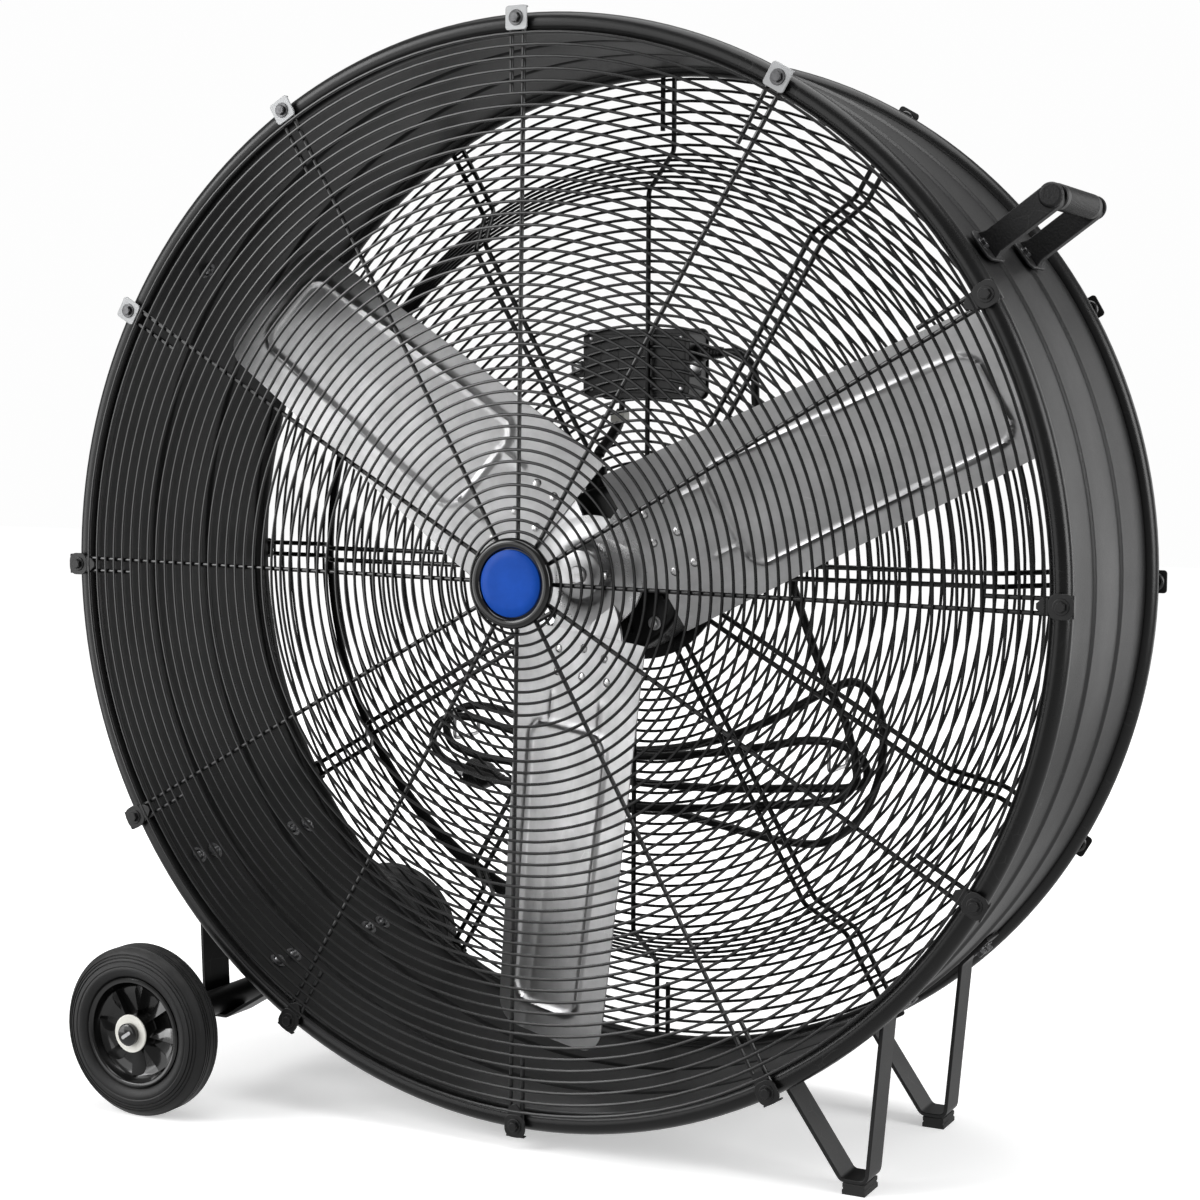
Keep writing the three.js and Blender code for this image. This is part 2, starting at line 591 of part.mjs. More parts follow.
function blade(index) {
  const edge = 0.07;
  const shares = [-1, -PANEL_SHARE - edge, -PANEL_SHARE, -PANEL_SHARE + edge];
  shares.push(PANEL_SHARE - edge, PANEL_SHARE, PANEL_SHARE + edge, 1);
  const ridge = 12;
  const radii = [
    BLADE_ROOT_RADIUS, PANEL_START_RADIUS - ridge, PANEL_START_RADIUS, PANEL_START_RADIUS + ridge,
    PANEL_END_RADIUS - ridge, PANEL_END_RADIUS, BLADE_TIP_RADIUS - BLADE_CORNER * 0.6,
    BLADE_TIP_RADIUS - BLADE_CORNER * 0.2, BLADE_TIP_RADIUS,
  ];
  const acrossAt = (share, radius) => share * bladeHalfWidth(share, radius);
  const onRidge = (share, radius) => {
    const alongSide = Math.abs(Math.abs(share) - PANEL_SHARE) < 1e-6;
    const withinLength = radius >= PANEL_START_RADIUS && radius <= PANEL_END_RADIUS;
    const alongEnd = radius === PANEL_START_RADIUS || radius === PANEL_END_RADIUS;
    return (alongSide && withinLength) || (alongEnd && Math.abs(share) <= PANEL_SHARE);
  };
  const yAt = (across, radius, share) => bladeY(across, radius) - (onRidge(share, radius) ? PANEL_RIDGE : 0);
  const plate = gridPlate(radii, shares, acrossAt, yAt, BLADE_THICKNESS);
  const heads = rivetPlaces.map(([across, radius]) => {
    const head = turned([
      [0, -RIVET_HEIGHT], [RIVET_RADIUS * 0.6, -RIVET_HEIGHT], [RIVET_RADIUS, WELD], [0, WELD],
    ], 6);
    head.rotateZ(radians(BLADE_PITCH));
    return head.translate(across, bladeY(across, radius) - BLADE_THICKNESS / 2, radius);
  });
  const result = mesh(`blade_${index + 1}`, join([plate, ...heads]), aluminium);
  result.rotation.y = radians(BLADE_FIRST_ANGLE + (index * 360) / BLADE_COUNT);
  return result;
}

/** Pressed hub with a barrel, a cone that opens to the arms, and an arm behind each blade. */
function spider() {
  const bore = SHAFT_RADIUS + CLEARANCE;
  const armOffset = BLADE_THICKNESS / 2 + CLEARANCE + SPIDER_PLATE / 2;
  const reach = HUB_CONE_RADIUS * Math.tan(radians(BLADE_PITCH));
  const barrelBack = HUB_FRONT + HUB_LENGTH;
  const coneFront = BLADE_MIDDLE + armOffset - SPIDER_PLATE / 2 - reach * 0.2;
  const barrel = turned([
    [bore, HUB_FRONT], [HUB_RADIUS, HUB_FRONT], [HUB_RADIUS + 2, coneFront - 6], [HUB_CONE_RADIUS, coneFront + 3],
    [HUB_CONE_RADIUS, coneFront + 3 + SPIDER_PLATE], [HUB_RADIUS + 2, coneFront + SPIDER_PLATE + 6],
    [HUB_RADIUS, barrelBack], [bore, barrelBack], [bore, HUB_FRONT],
  ], 20);
  const arms = [];
  for (let i = 0; i < BLADE_COUNT; i += 1) {
    const radii = [HUB_RADIUS - 4, HUB_CONE_RADIUS, SPIDER_ARM_END];
    const narrowing = (radius) => (radius < HUB_CONE_RADIUS ? 0.42 : 1);
    const width = (share, radius) => share * narrowing(radius) * SPIDER_ARM_HALF_WIDTH;
    const twist = (radius) => (radius < HUB_CONE_RADIUS ? 0.35 : 1);
    const slope = Math.tan(radians(BLADE_PITCH));
    const yAt = (across, radius) => BLADE_MIDDLE + twist(radius) * across * slope + armOffset;
    const arm = gridPlate(radii, [-1, 0, 1], width, yAt, SPIDER_PLATE);
    arms.push(arm.rotateY(radians(BLADE_FIRST_ANGLE + (i * 360) / BLADE_COUNT)));
  }
  return mesh('fan_spider', join([barrel, ...arms]), aluminium);
}

// ---------------------------------------------------------------- motor
function motor() {
  const shellFront = MOTOR_FRONT_Y + MOTOR_BELL_DEPTH;
  const shellBack = shellFront + MOTOR_SHELL_LENGTH;
  const middle = (shellFront + shellBack) / 2;
  const spigot = MOTOR_RADIUS - MOTOR_WALL - CLEARANCE;
  const bell = (outerY, sign, faceRadius) => {
    const innerY = outerY + sign * MOTOR_BELL_DEPTH;
    const seat = outerY + sign * (4 + BEARING_WIDTH + CLEARANCE);
    return turned([
      [SHAFT_RADIUS + RUNNING_GAP, outerY], [faceRadius, outerY], [MOTOR_RADIUS - 8, outerY + sign * 7],
      [MOTOR_RADIUS, outerY + sign * 14], [MOTOR_RADIUS, innerY - sign * CLEARANCE],
      [spigot, innerY - sign * CLEARANCE], [spigot, innerY - sign * 5], [BEARING_RADIUS + 5, seat],
      [BEARING_RADIUS + CLEARANCE, seat], [BEARING_RADIUS + CLEARANCE, outerY + sign * 4],
      [SHAFT_RADIUS + RUNNING_GAP, outerY + sign * 4], [SHAFT_RADIUS + RUNNING_GAP, outerY],
    ], 18);
  };
  const bearingFrom = (outerY, sign) => outerY + sign * (4 + CLEARANCE + BEARING_WIDTH / 2);
  const bearing = (name, y) => {
    const half = BEARING_WIDTH / 2;
    const ring = ringSolid(SHAFT_RADIUS + CLEARANCE, BEARING_RADIUS, y - half, y + half, 16);
    return mesh(name, ring, steel);
  };
  const shell = ringSolid(MOTOR_RADIUS - MOTOR_WALL, MOTOR_RADIUS, shellFront, shellBack, 24);
  const halfStator = STATOR_LENGTH / 2;
  const stator = ringSolid(STATOR_BORE, spigot, middle - halfStator, middle + halfStator, 24);
  return [
    mesh('motor_front_bell', bell(MOTOR_FRONT_Y, 1, BEARING_RADIUS + 8), motorBlack),
    mesh('motor_rear_bell', bell(MOTOR_REAR_Y, -1, MOUNT_RING_INNER + 10), motorBlack),
    mesh('motor_shell', shell, motorBlack),
    bearing('motor_front_bearing', bearingFrom(MOTOR_FRONT_Y, 1)),
    bearing('motor_rear_bearing', bearingFrom(MOTOR_REAR_Y, -1)),
    mesh('motor_stator', stator, copper),
  ];
}

function motorRotor() {
  const shellFront = MOTOR_FRONT_Y + MOTOR_BELL_DEPTH;
  const middle = shellFront + MOTOR_SHELL_LENGTH / 2;
  const half = STATOR_LENGTH / 2;
  const core = ringSolid(SHAFT_RADIUS + CLEARANCE, STATOR_BORE - RUNNING_GAP, middle - half, middle + half, 20);
  const shaft = ringSolid(0, SHAFT_RADIUS, HUB_FRONT - 4, MOTOR_REAR_Y - 2, 20);
  return [mesh('motor_rotor_core', core, steel), mesh('motor_shaft', shaft, steel)];
}

// ---------------------------------------------------------------- switch box, leads and cord
const boxMiddle = point(BOX_X, BOX_FRONT_Y + BOX_DEPTH / 2, AXIS_HEIGHT + BOX_HEIGHT_ABOVE_AXIS);
const glandPlace = point(BOX_X + BOX_WIDTH / 2 + CLEARANCE, boxMiddle.y, boxMiddle.z + 12);
const boxUnderside = boxMiddle.z - BOX_HEIGHT / 2;
const leadStart = point(BOX_X - 24, boxMiddle.y - 8, boxUnderside - CLEARANCE);

function switchBox() {
  const shell = extrudedAlongY(roundedRectangle(BOX_WIDTH, BOX_HEIGHT, BOX_CORNER), BOX_FRONT_Y, BOX_DEPTH);
  const hollow = roundedRectangle(BOX_WIDTH - 2 * BOX_WALL, BOX_HEIGHT - 2 * BOX_WALL, BOX_CORNER - BOX_WALL);
  const inside = extrudedAlongY(hollow, BOX_FRONT_Y + BOX_WALL, BOX_DEPTH);
  const ears = [-1, 1].map((side) => {
    const x = side * (BOX_WIDTH / 2 + EAR_WIDTH / 2 - WELD);
    return box(EAR_WIDTH, EAR_THICKNESS, EAR_WIDTH + 4, x, BOX_FRONT_Y + EAR_THICKNESS / 2, -6);
  });
  const body = cut(join([shell, ...ears]), [inside]);
  const result = mesh('switch_box', body, plastic);
  result.position.set(BOX_X, 0, boxMiddle.z);
  return result;
}

function switchCover() {
  const back = BOX_FRONT_Y + BOX_DEPTH + CLEARANCE;
  const plate = extrudedAlongY(roundedRectangle(BOX_WIDTH + 4, BOX_HEIGHT + 4, BOX_CORNER), back, BOX_COVER);
  const hole = ringSolid(0, KNOB_SPINDLE_RADIUS + RUNNING_GAP, back - 1, back + BOX_COVER + 1, 16);
  const result = mesh('switch_box_cover', cut(plate, [hole]), plastic);
  result.position.set(BOX_X, 0, boxMiddle.z);
  return result;
}

function switchKnob() {
  const face = BOX_FRONT_Y + BOX_DEPTH + CLEARANCE + BOX_COVER + RUNNING_GAP;
  const body = turned([
    [0, face - 16], [KNOB_SPINDLE_RADIUS, face - 16], [KNOB_SPINDLE_RADIUS, face], [KNOB_RADIUS, face],
    [KNOB_RADIUS, face + 4], [KNOB_RADIUS - 3, face + 7], [0, face + 7],
  ], 18);
  const pointer = box(7, KNOB_DEPTH - 5, 2 * KNOB_RADIUS - 6, 0, face + 5 + (KNOB_DEPTH - 5) / 2, 0);
  const result = mesh('switch_knob', join([body, pointer]), plastic);
  result.position.set(BOX_X, 0, boxMiddle.z);
  return result;
}

/** Strain relief on the right side of the box; its axis runs along X. */
function powerGland() {
  const bore = CORD_DIAMETER / 2 + CLEARANCE;
  const profile = [
    [bore, 0], [GLAND_RADIUS, 0], [GLAND_RADIUS, 9], [GLAND_RADIUS - 2, 10], [bore + 1.2, GLAND_LENGTH],
    [bore, GLAND_LENGTH], [bore, 0],
  ];
  const result = mesh('power_gland', turned(profile, 14).rotateZ(-Math.PI / 2), plastic);
  result.position.copy(glandPlace);
  return result;
}

function motorLead() {
  const shellMiddle = MOTOR_FRONT_Y + MOTOR_BELL_DEPTH + MOTOR_SHELL_LENGTH / 2;
  const motorTop = point(-30, shellMiddle, AXIS_HEIGHT + MOTOR_RADIUS);
  const glandRise = 20;
  const end = motorTop.clone().setZ(motorTop.z + CLEARANCE + glandRise + CLEARANCE);
  const saddle = 12; // the gland's foot reaches this far down beside the round shell
  const body = turned([
    [0, -saddle], [15, -saddle], [15, 7], [11, 9], [8, glandRise], [0, glandRise],
  ], 12).rotateX(Math.PI / 2).translate(motorTop.x, motorTop.y, MOTOR_RADIUS + CLEARANCE);
  const shell = ringSolid(0, MOTOR_RADIUS + CLEARANCE, motorTop.y - 30, motorTop.y + 30, 24);
  const glandMesh = mesh('motor_gland', cut(body, [shell]), motorBlack);
  glandMesh.position.z = AXIS_HEIGHT;
  const route = new THREE.CatmullRomCurve3([
    leadStart.clone().add(point(0, 0, -10)), point(leadStart.x - 2, boxMiddle.y - 12, boxUnderside - 28),
    point(leadStart.x - 2, REAR_MIDDLE_Y - 8, boxUnderside - 49), end.clone().add(point(0, 0, 12)),
  ]);
  const points = [leadStart, ...route.getPoints(10), end];
  return [glandMesh, mesh('motor_lead', sweptTube(points, LEAD_DIAMETER / 2, 6), cordRubber)];
}

// The power cord's route, chosen by hand: down behind the guard from the switch box, then gathered
// in long loose loops. Heights count from the fan axis and depths from the run nearest the guard.
// Each run of the gathered part has its own depth, so that none touches another.
const CORD_Y = REAR_BACK_Y + CORD_STANDOFF;
const behind = (x, depth, height) => point(x, CORD_Y + depth, AXIS_HEIGHT + height);
const gather = (run, x, height) => behind(x, run * CORD_RUN_STEP, height);
const cordDrop = [
  point(glandPlace.x + GLAND_LENGTH + CLEARANCE, glandPlace.y, glandPlace.z), behind(104, 13, 237),
  behind(122, 12, 221), behind(126, 10, 187), behind(132, 8, 135), behind(150, 6, 65),
  behind(172, 4, -5), behind(196, 2, -70), behind(219, 0.5, -123), behind(240, 0, -161),
  behind(248, 0, -187),
];
const cordGathered = [
  gather(0, 252, -201), gather(0, 254, -223), gather(0, 238, -244), gather(0, 200, -254),
  gather(0, 140, -262), gather(0, 67, -271), gather(0, -8, -276), gather(0, -90, -273),
  gather(0, -170, -263), gather(0, -232, -251), gather(0, -270, -237), behind(-284, 3, -217),
  behind(-274, 7, -195), gather(1, -244, -189), gather(1, -190, -199), gather(1, -110, -217),
  gather(1, -9, -219), gather(1, 70, -210), gather(1, 139, -198), gather(1, 192, -187),
  gather(1, 230, -189), behind(256, 15, -205), behind(258, 19, -227), gather(2, 238, -237),
  gather(2, 187, -242), gather(2, 91, -250), gather(2, -8, -252), gather(2, -100, -247),
  gather(2, -180, -241), gather(2, -240, -235), behind(-272, 26, -223), behind(-280, 29, -201),
  behind(-258, 32, -181), gather(3, -215, -180), gather(3, -150, -200), gather(3, -70, -217),
  gather(3, 5, -213), gather(3, 84, -194), gather(3, 145, -167), gather(3, 205, -134),
  gather(3, 238, -122), behind(260, 36, -139), behind(270, 38, -180), behind(263, 40, -233),
  behind(240, 42, -277), behind(200, 44, -305), gather(4, 158, -309), gather(4, 67, -296),
  gather(4, 0, -285), gather(4, -90, -279), gather(4, -160, -275), gather(4, -212, -267),
];

const DROP_STEPS = 26;
const GATHERED_STEPS = 88;
const curveOf = (points) => new THREE.CatmullRomCurve3(points, false, 'centripetal');

/** The least distance between parts of a route that are more than a loop's width apart along it. */
function leastGap(points, diameter, apart) {
  let least = Infinity;
  const along = [0];
  for (let i = 1; i < points.length; i += 1) along.push(along[i - 1] + points[i].distanceTo(points[i - 1]));
  for (let i = 0; i < points.length; i += 1) {
    for (let j = i + 1; j < points.length; j += 1) {
      if (along[j] - along[i] > apart) least = Math.min(least, points[i].distanceTo(points[j]));
    }
  }
  return least - diameter;
}

function powerCord() {
  const joint = cordGathered[0];
  const fall = cordGathered[1].clone().sub(joint).normalize();
  const end = cordGathered.at(-1);
  const along = end.clone().sub(cordGathered.at(-2)).normalize();
  const beforeJoint = joint.clone().addScaledVector(fall, -CORD_DIAMETER);
  const afterJoint = joint.clone().addScaledVector(fall, CORD_DIAMETER);
  const beforeEnd = end.clone().addScaledVector(along, -CORD_DIAMETER);
  const dropCurve = curveOf([...cordDrop, beforeJoint]);
  const gatheredCurve = curveOf([afterJoint, ...cordGathered.slice(1, -1), beforeEnd]);
  const total = dropCurve.getLength() + gatheredCurve.getLength() + 3 * CORD_DIAMETER;
  console.log(`power cord length ${total.toFixed(0)} mm`);
  const fine = gatheredCurve.getSpacedPoints(900);
  console.log(`gathered cord, least gap to itself ${leastGap(fine, CORD_DIAMETER, 60).toFixed(2)} mm`);
  const drop = [...dropCurve.getSpacedPoints(DROP_STEPS), joint.clone().addScaledVector(fall, -CLEARANCE)];
  const gathered = [joint, ...gatheredCurve.getSpacedPoints(GATHERED_STEPS), end];
  return [
    mesh('power_cord', sweptTube(drop, CORD_DIAMETER / 2, 6), cordRubber),
    mesh('cord_hank', sweptTube(gathered, CORD_DIAMETER / 2, 6), cordRubber),
  ];
}

/** Three-pin plug in line with the cord's end. */
function powerPlug() {
  const end = cordGathered.at(-1);
  const along = end.clone().sub(cordGathered.at(-2)).normalize();
  const sunk = 2;
  const profile = [
    [0, 0], [CORD_DIAMETER / 2 + 1.5, 0], [PLUG_RADIUS * 0.7, 14], [PLUG_RADIUS, 20],
    [PLUG_RADIUS, PLUG_LENGTH - 3], [PLUG_RADIUS - 2, PLUG_LENGTH], [0, PLUG_LENGTH],
  ];
  const pinMiddle = PLUG_LENGTH + BLADE_PIN_LENGTH / 2 - sunk;
  const pins = [-6, 6].map((x) => box(1.6, BLADE_PIN_LENGTH + sunk, 7, x, pinMiddle, 2));
  const earthEnd = PLUG_LENGTH + BLADE_PIN_LENGTH + 2;
  const earth = ringSolid(0, 2.4, PLUG_LENGTH - sunk, earthEnd, 8).translate(0, 0, -7);
  const plug = mesh('power_plug', join([turned(profile, 16), ...pins, earth]), plastic);
  plug.quaternion.setFromUnitVectors(point(0, 1, 0), along);
  plug.position.copy(end).addScaledVector(along, CLEARANCE);
  return plug;
}

/** A bent wire hook on a ring of the rear guard's flat middle, for the gathered cord. */
function cordHook(name, x, drop) {
  const ring = rearMiddleRings.at(-2);
  const z = AXIS_HEIGHT - Math.sqrt(ring ** 2 - x ** 2) - drop;
  const back = REAR_BACK_Y + CLEARANCE + HOOK_WIRE / 2;
  const path = [
    point(x, back, z + HOOK_LEG), point(x, back, z + 4), point(x, back + 4, z),
    point(x, back + HOOK_REACH - 4, z), point(x, back + HOOK_REACH, z + 4),
    point(x, back + HOOK_REACH, z + HOOK_LIP),
  ];
  return mesh(name, sweptTube(path, HOOK_WIRE / 2, 6), steel);
}

// ---------------------------------------------------------------- handle
function handle() {
  const seat = DRUM_RADIUS + SWAGE_HEIGHT + CLEARANCE;
  const armTop = DRUM_RADIUS + GRIP_REACH;
  const armLength = armTop - seat;
  const pieces = [];
  for (const side of [-1, 1]) {
    const y = (side * ARM_SPACING) / 2;
    const armOutline = roundedRectangle(ARM_WIDTH, armLength, 3);
    const arm = extrudedAlongY(armOutline, -ARM_THICKNESS / 2, ARM_THICKNESS, 2);
    const flangeOutline = roundedRectangle(FLANGE_WIDTH, FLANGE_LENGTH, 12);
    const flangeSettings = { depth: FLANGE_PLATE, bevelEnabled: false, curveSegments: 4 };
    const flange = new THREE.ExtrudeGeometry(flangeOutline, flangeSettings);
    const bolts = [-1, 1].map((end) => {
      const head = new THREE.CylinderGeometry(5, 5, 4 + WELD, 6).rotateX(Math.PI / 2);
      return head.translate(0, y + end * (FLANGE_LENGTH / 2 - 9), seat + FLANGE_PLATE + 2 - WELD / 2);
    });
    pieces.push(arm.translate(0, y, (seat + armTop) / 2 + WELD), flange.translate(0, y, seat), ...bolts);
  }
  const core = ringSolid(0, GRIP_DIAMETER / 2 - GRIP_WALL - CLEARANCE, -ARM_SPACING / 2, ARM_SPACING / 2, 12);
  pieces.push(core.translate(0, 0, armTop));
  const inside = GRIP_DIAMETER / 2 - GRIP_WALL;
  const gripLength = ARM_SPACING - ARM_THICKNESS - 2 * CLEARANCE;
  const grip = ringSolid(inside, GRIP_DIAMETER / 2, -gripLength / 2, gripLength / 2, 18);
  grip.translate(0, 0, armTop);
  const capLength = (GRIP_LENGTH - ARM_SPACING) / 2 + ARM_THICKNESS / 2;
  for (const side of [-1, 1]) {
    const capMiddle = side * (ARM_SPACING / 2 - ARM_THICKNESS / 2 + capLength / 2);
    const [from, to] = [capMiddle - capLength / 2, capMiddle + capLength / 2];
    pieces.push(ringSolid(0, GRIP_DIAMETER / 2, from, to, 18).translate(0, 0, armTop));
  }
  const result = [mesh('handle_frame', join(pieces), blackSheet), mesh('handle_grip', grip, rubber)];
  for (const piece of result) {
    piece.rotation.y = radians(HANDLE_ANGLE);
    piece.position.z = AXIS_HEIGHT;
  }
  return result;
}

// ---------------------------------------------------------------- stand
/** A strap bent along [x, z] points, of even thickness, mitred at the bends, centred on y. */
function bentStrap(points, y, width) {
  const half = STRAP_THICKNESS / 2;
  const sideAt = (index, sign) => {
    const here = points[index];
    const before = points[Math.max(index - 1, 0)];
    const after = points[Math.min(index + 1, points.length - 1)];
    const into = (index === 0 ? after.clone().sub(here) : here.clone().sub(before)).normalize();
    const isLast = index === points.length - 1;
    const out = (isLast ? here.clone().sub(before) : after.clone().sub(here)).normalize();
    const normal = new THREE.Vector2(-into.y - out.y, into.x + out.x).normalize();
    const stretch = half / Math.max(0.45, normal.dot(new THREE.Vector2(-into.y, into.x)));
    return [here.x + sign * normal.x * stretch, here.y + sign * normal.y * stretch];
  };
  const left = points.map((_, index) => sideAt(index, 1));
  const right = points.map((_, index) => sideAt(index, -1)).reverse();
  return extrudedAlongY([...left, ...right], y - width / 2, width);
}

const flat = (place) => new THREE.Vector2(place.x, place.z);
const onDrum = (degrees) => flat(aroundAxis(STRAP_SEAT_RADIUS, degrees));

function wheelStrap(name, y) {
  const seat = WHEEL_RADIUS - AXLE_TUBE_RADIUS - CLEARANCE - STRAP_THICKNESS / 2;
  const beside = AXLE_TUBE_RADIUS + CLEARANCE + STRAP_THICKNESS / 2 + 1;
  const points = [
    onDrum(UPPER_WHEEL_TAB_ANGLE), onDrum(UPPER_WHEEL_ARM_ANGLE),
    new THREE.Vector2(WHEEL_X - beside, seat), new THREE.Vector2(WHEEL_X + beside - 6, seat),
    onDrum(LOWER_WHEEL_ARM_ANGLE), onDrum(LOWER_WHEEL_TAB_ANGLE),
  ];
  return mesh(name, bentStrap(points, y, WHEEL_STRAP_WIDTH), blackSheet);
}

function footStrap(name, y) {
  const seat = FOOT_PAD_HEIGHT + CLEARANCE + STRAP_THICKNESS / 2;
  const points = [
    onDrum(INNER_FOOT_TAB_ANGLE), onDrum(INNER_FOOT_ARM_ANGLE),
    new THREE.Vector2(FOOT_X - FOOT_FLAT / 2, seat), new THREE.Vector2(FOOT_X + FOOT_FLAT / 2, seat),
    onDrum(OUTER_FOOT_ARM_ANGLE), onDrum(OUTER_FOOT_TAB_ANGLE),
  ];
  return mesh(name, bentStrap(points, y, FOOT_STRAP_WIDTH), blackSheet);
}

function footPad(name, y) {
  const pad = box(FOOT_PAD_LENGTH, FOOT_STRAP_WIDTH, FOOT_PAD_HEIGHT, FOOT_X, y, FOOT_PAD_HEIGHT / 2);
  return mesh(name, pad, rubber);
}

/** Rubber tyre with rounded shoulders and a tread groove. */
function tyre(name, y) {
  const half = WHEEL_WIDTH / 2;
  const shoulder = 15;
  const bottom = WHEEL_RADIUS - 2;
  const groove = (middle) => [[WHEEL_RADIUS, middle - 2], [bottom, middle], [WHEEL_RADIUS, middle + 2]];
  const corner = (sign) => evenly(0, 90, 3).map((degrees) => {
    const angle = radians(degrees);
    const r = WHEEL_RADIUS - shoulder + shoulder * Math.sin(angle);
    return [r, sign * (half - shoulder + shoulder * Math.cos(angle))];
  });
  const profile = [
    [TYRE_INNER_RADIUS, -half + RIM_LIP_DEPTH], ...corner(-1), ...groove(0), ...corner(1).reverse(),
    [TYRE_INNER_RADIUS, half - RIM_LIP_DEPTH], [TYRE_INNER_RADIUS, -half + RIM_LIP_DEPTH],
  ];
  const result = mesh(name, turned(profile, 22), rubber);
  result.position.set(WHEEL_X, y, WHEEL_RADIUS);
  return result;
}

/** Moulded wheel: outer rim, web, slanted vanes and hub. */
function wheelRim(name, y) {
  const outer = TYRE_INNER_RADIUS - CLEARANCE;
  const half = WHEEL_WIDTH / 2 - RIM_LIP_DEPTH;
  const bore = AXLE_RADIUS + RUNNING_GAP;
  const rim = ringSolid(outer - 8, outer, -half, half, 22);
  const web = ringSolid(bore, outer - 4, -2, 2, 22);
  const hub = ringSolid(bore, WHEEL_HUB_RADIUS, -half, half, 11);
  const vanes = [];
  for (let i = 0; i < WHEEL_VANES; i += 1) {
    const length = outer - 6 - (WHEEL_HUB_RADIUS - 2);
    const vane = box(3, 2 * half - 12, length, 0, 0, WHEEL_HUB_RADIUS - 2 + length / 2);
    vanes.push(vane.rotateY(radians((i * 360) / WHEEL_VANES)));
  }
  const result = mesh(name, join([rim, web, hub, ...vanes]), rimPlastic);
  result.position.set(WHEEL_X, y, WHEEL_RADIUS);
  return result;
}

function axleParts() {
  const wheelOuter = WHEEL_SPACING / 2 + WHEEL_WIDTH / 2 - RIM_LIP_DEPTH;
  const wheelInner = WHEEL_SPACING / 2 - WHEEL_WIDTH / 2 + RIM_LIP_DEPTH;
  const washerEnd = wheelOuter + RUNNING_GAP + WASHER_THICKNESS;
  const tubeEnd = wheelInner - RUNNING_GAP;
  const axleEnd = washerEnd + CLEARANCE;
  const parts = [
    mesh('axle', ringSolid(0, AXLE_RADIUS, -axleEnd, axleEnd, 20), steel),
    mesh('axle_tube', ringSolid(AXLE_TUBE_BORE, AXLE_TUBE_RADIUS, -tubeEnd, tubeEnd, 20), blackSheet),
  ];
  for (const [side, word] of [[-1, 'front'], [1, 'rear']]) {
    const washerFrom = wheelOuter + RUNNING_GAP;
    const washer = ringSolid(AXLE_RADIUS + CLEARANCE, WASHER_RADIUS, washerFrom, washerEnd, 16);
    const capFrom = axleEnd + CLEARANCE;
    const cap = turned([[0, capFrom], [AXLE_CAP_RADIUS, capFrom], [AXLE_CAP_RADIUS, capFrom + 3],
      [AXLE_CAP_RADIUS - 3, capFrom + AXLE_CAP_LENGTH], [0, capFrom + AXLE_CAP_LENGTH]], 16);
    const ends = [['wheel_washer', washer, whiteNylon], ['axle_cap', cap, rimPlastic]];
    for (const [name, piece, material] of ends) {
      parts.push(mesh(`${name}_${word}`, side < 0 ? piece.rotateZ(Math.PI) : piece, material));
    }
  }
  for (const part of parts) part.position.set(WHEEL_X, 0, WHEEL_RADIUS);
  return parts;
}

// ---------------------------------------------------------------- assembly
/** Everything that is turned about the fan axis hangs in a group whose origin lies on that axis. */
function onAxis(pieces) {
  const group = new THREE.Group();
  group.position.z = AXIS_HEIGHT;
  group.add(...pieces);
  return group;
}

const group = new THREE.Group();
group.add(onAxis([drumShell(), frontGuard(), rearGuard(), ...badge()]));
group.add(onAxis([...motor(), ...motorRotor(), spider()]));
group.add(onAxis(Array.from({ length: BLADE_COUNT }, (_, i) => blade(i))));
group.add(...Array.from({ length: SPOKE_COUNT }, (_, i) => frontClamp(i)));
group.add(switchBox(), switchCover(), switchKnob(), powerGland(), ...motorLead());
group.add(...powerCord(), powerPlug());
group.add(cordHook('cord_hook_right', HOOK_RIGHT_X, HOOK_RIGHT_DROP));
group.add(cordHook('cord_hook_left', HOOK_LEFT_X, HOOK_LEFT_DROP));
group.add(...handle());
for (const [side, word] of [[-1, 'front'], [1, 'rear']]) {
  group.add(wheelStrap(`wheel_strap_${word}`, (side * WHEEL_STRAP_SPACING) / 2));
  group.add(footStrap(`foot_strap_${word}`, (side * FOOT_SPACING) / 2));
  group.add(footPad(`foot_pad_${word}`, (side * FOOT_SPACING) / 2));
  group.add(tyre(`tyre_${word}`, (side * WHEEL_SPACING) / 2));
  group.add(wheelRim(`wheel_rim_${word}`, (side * WHEEL_SPACING) / 2));
}
group.add(...axleParts());

export default group;
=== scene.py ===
"""Drum fan: the finished look of a wheeled drum fan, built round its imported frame.

Metres, +Z up. Seen from the front X runs to the right and Y runs back along the fan's axis.
Angles are clockwise from the top, seen from the front.
"""

import json
import logging
import math
from dataclasses import dataclass, field
from enum import Enum
from typing import Optional, Sequence

import bmesh
import bpy
from mathutils import Matrix, Vector

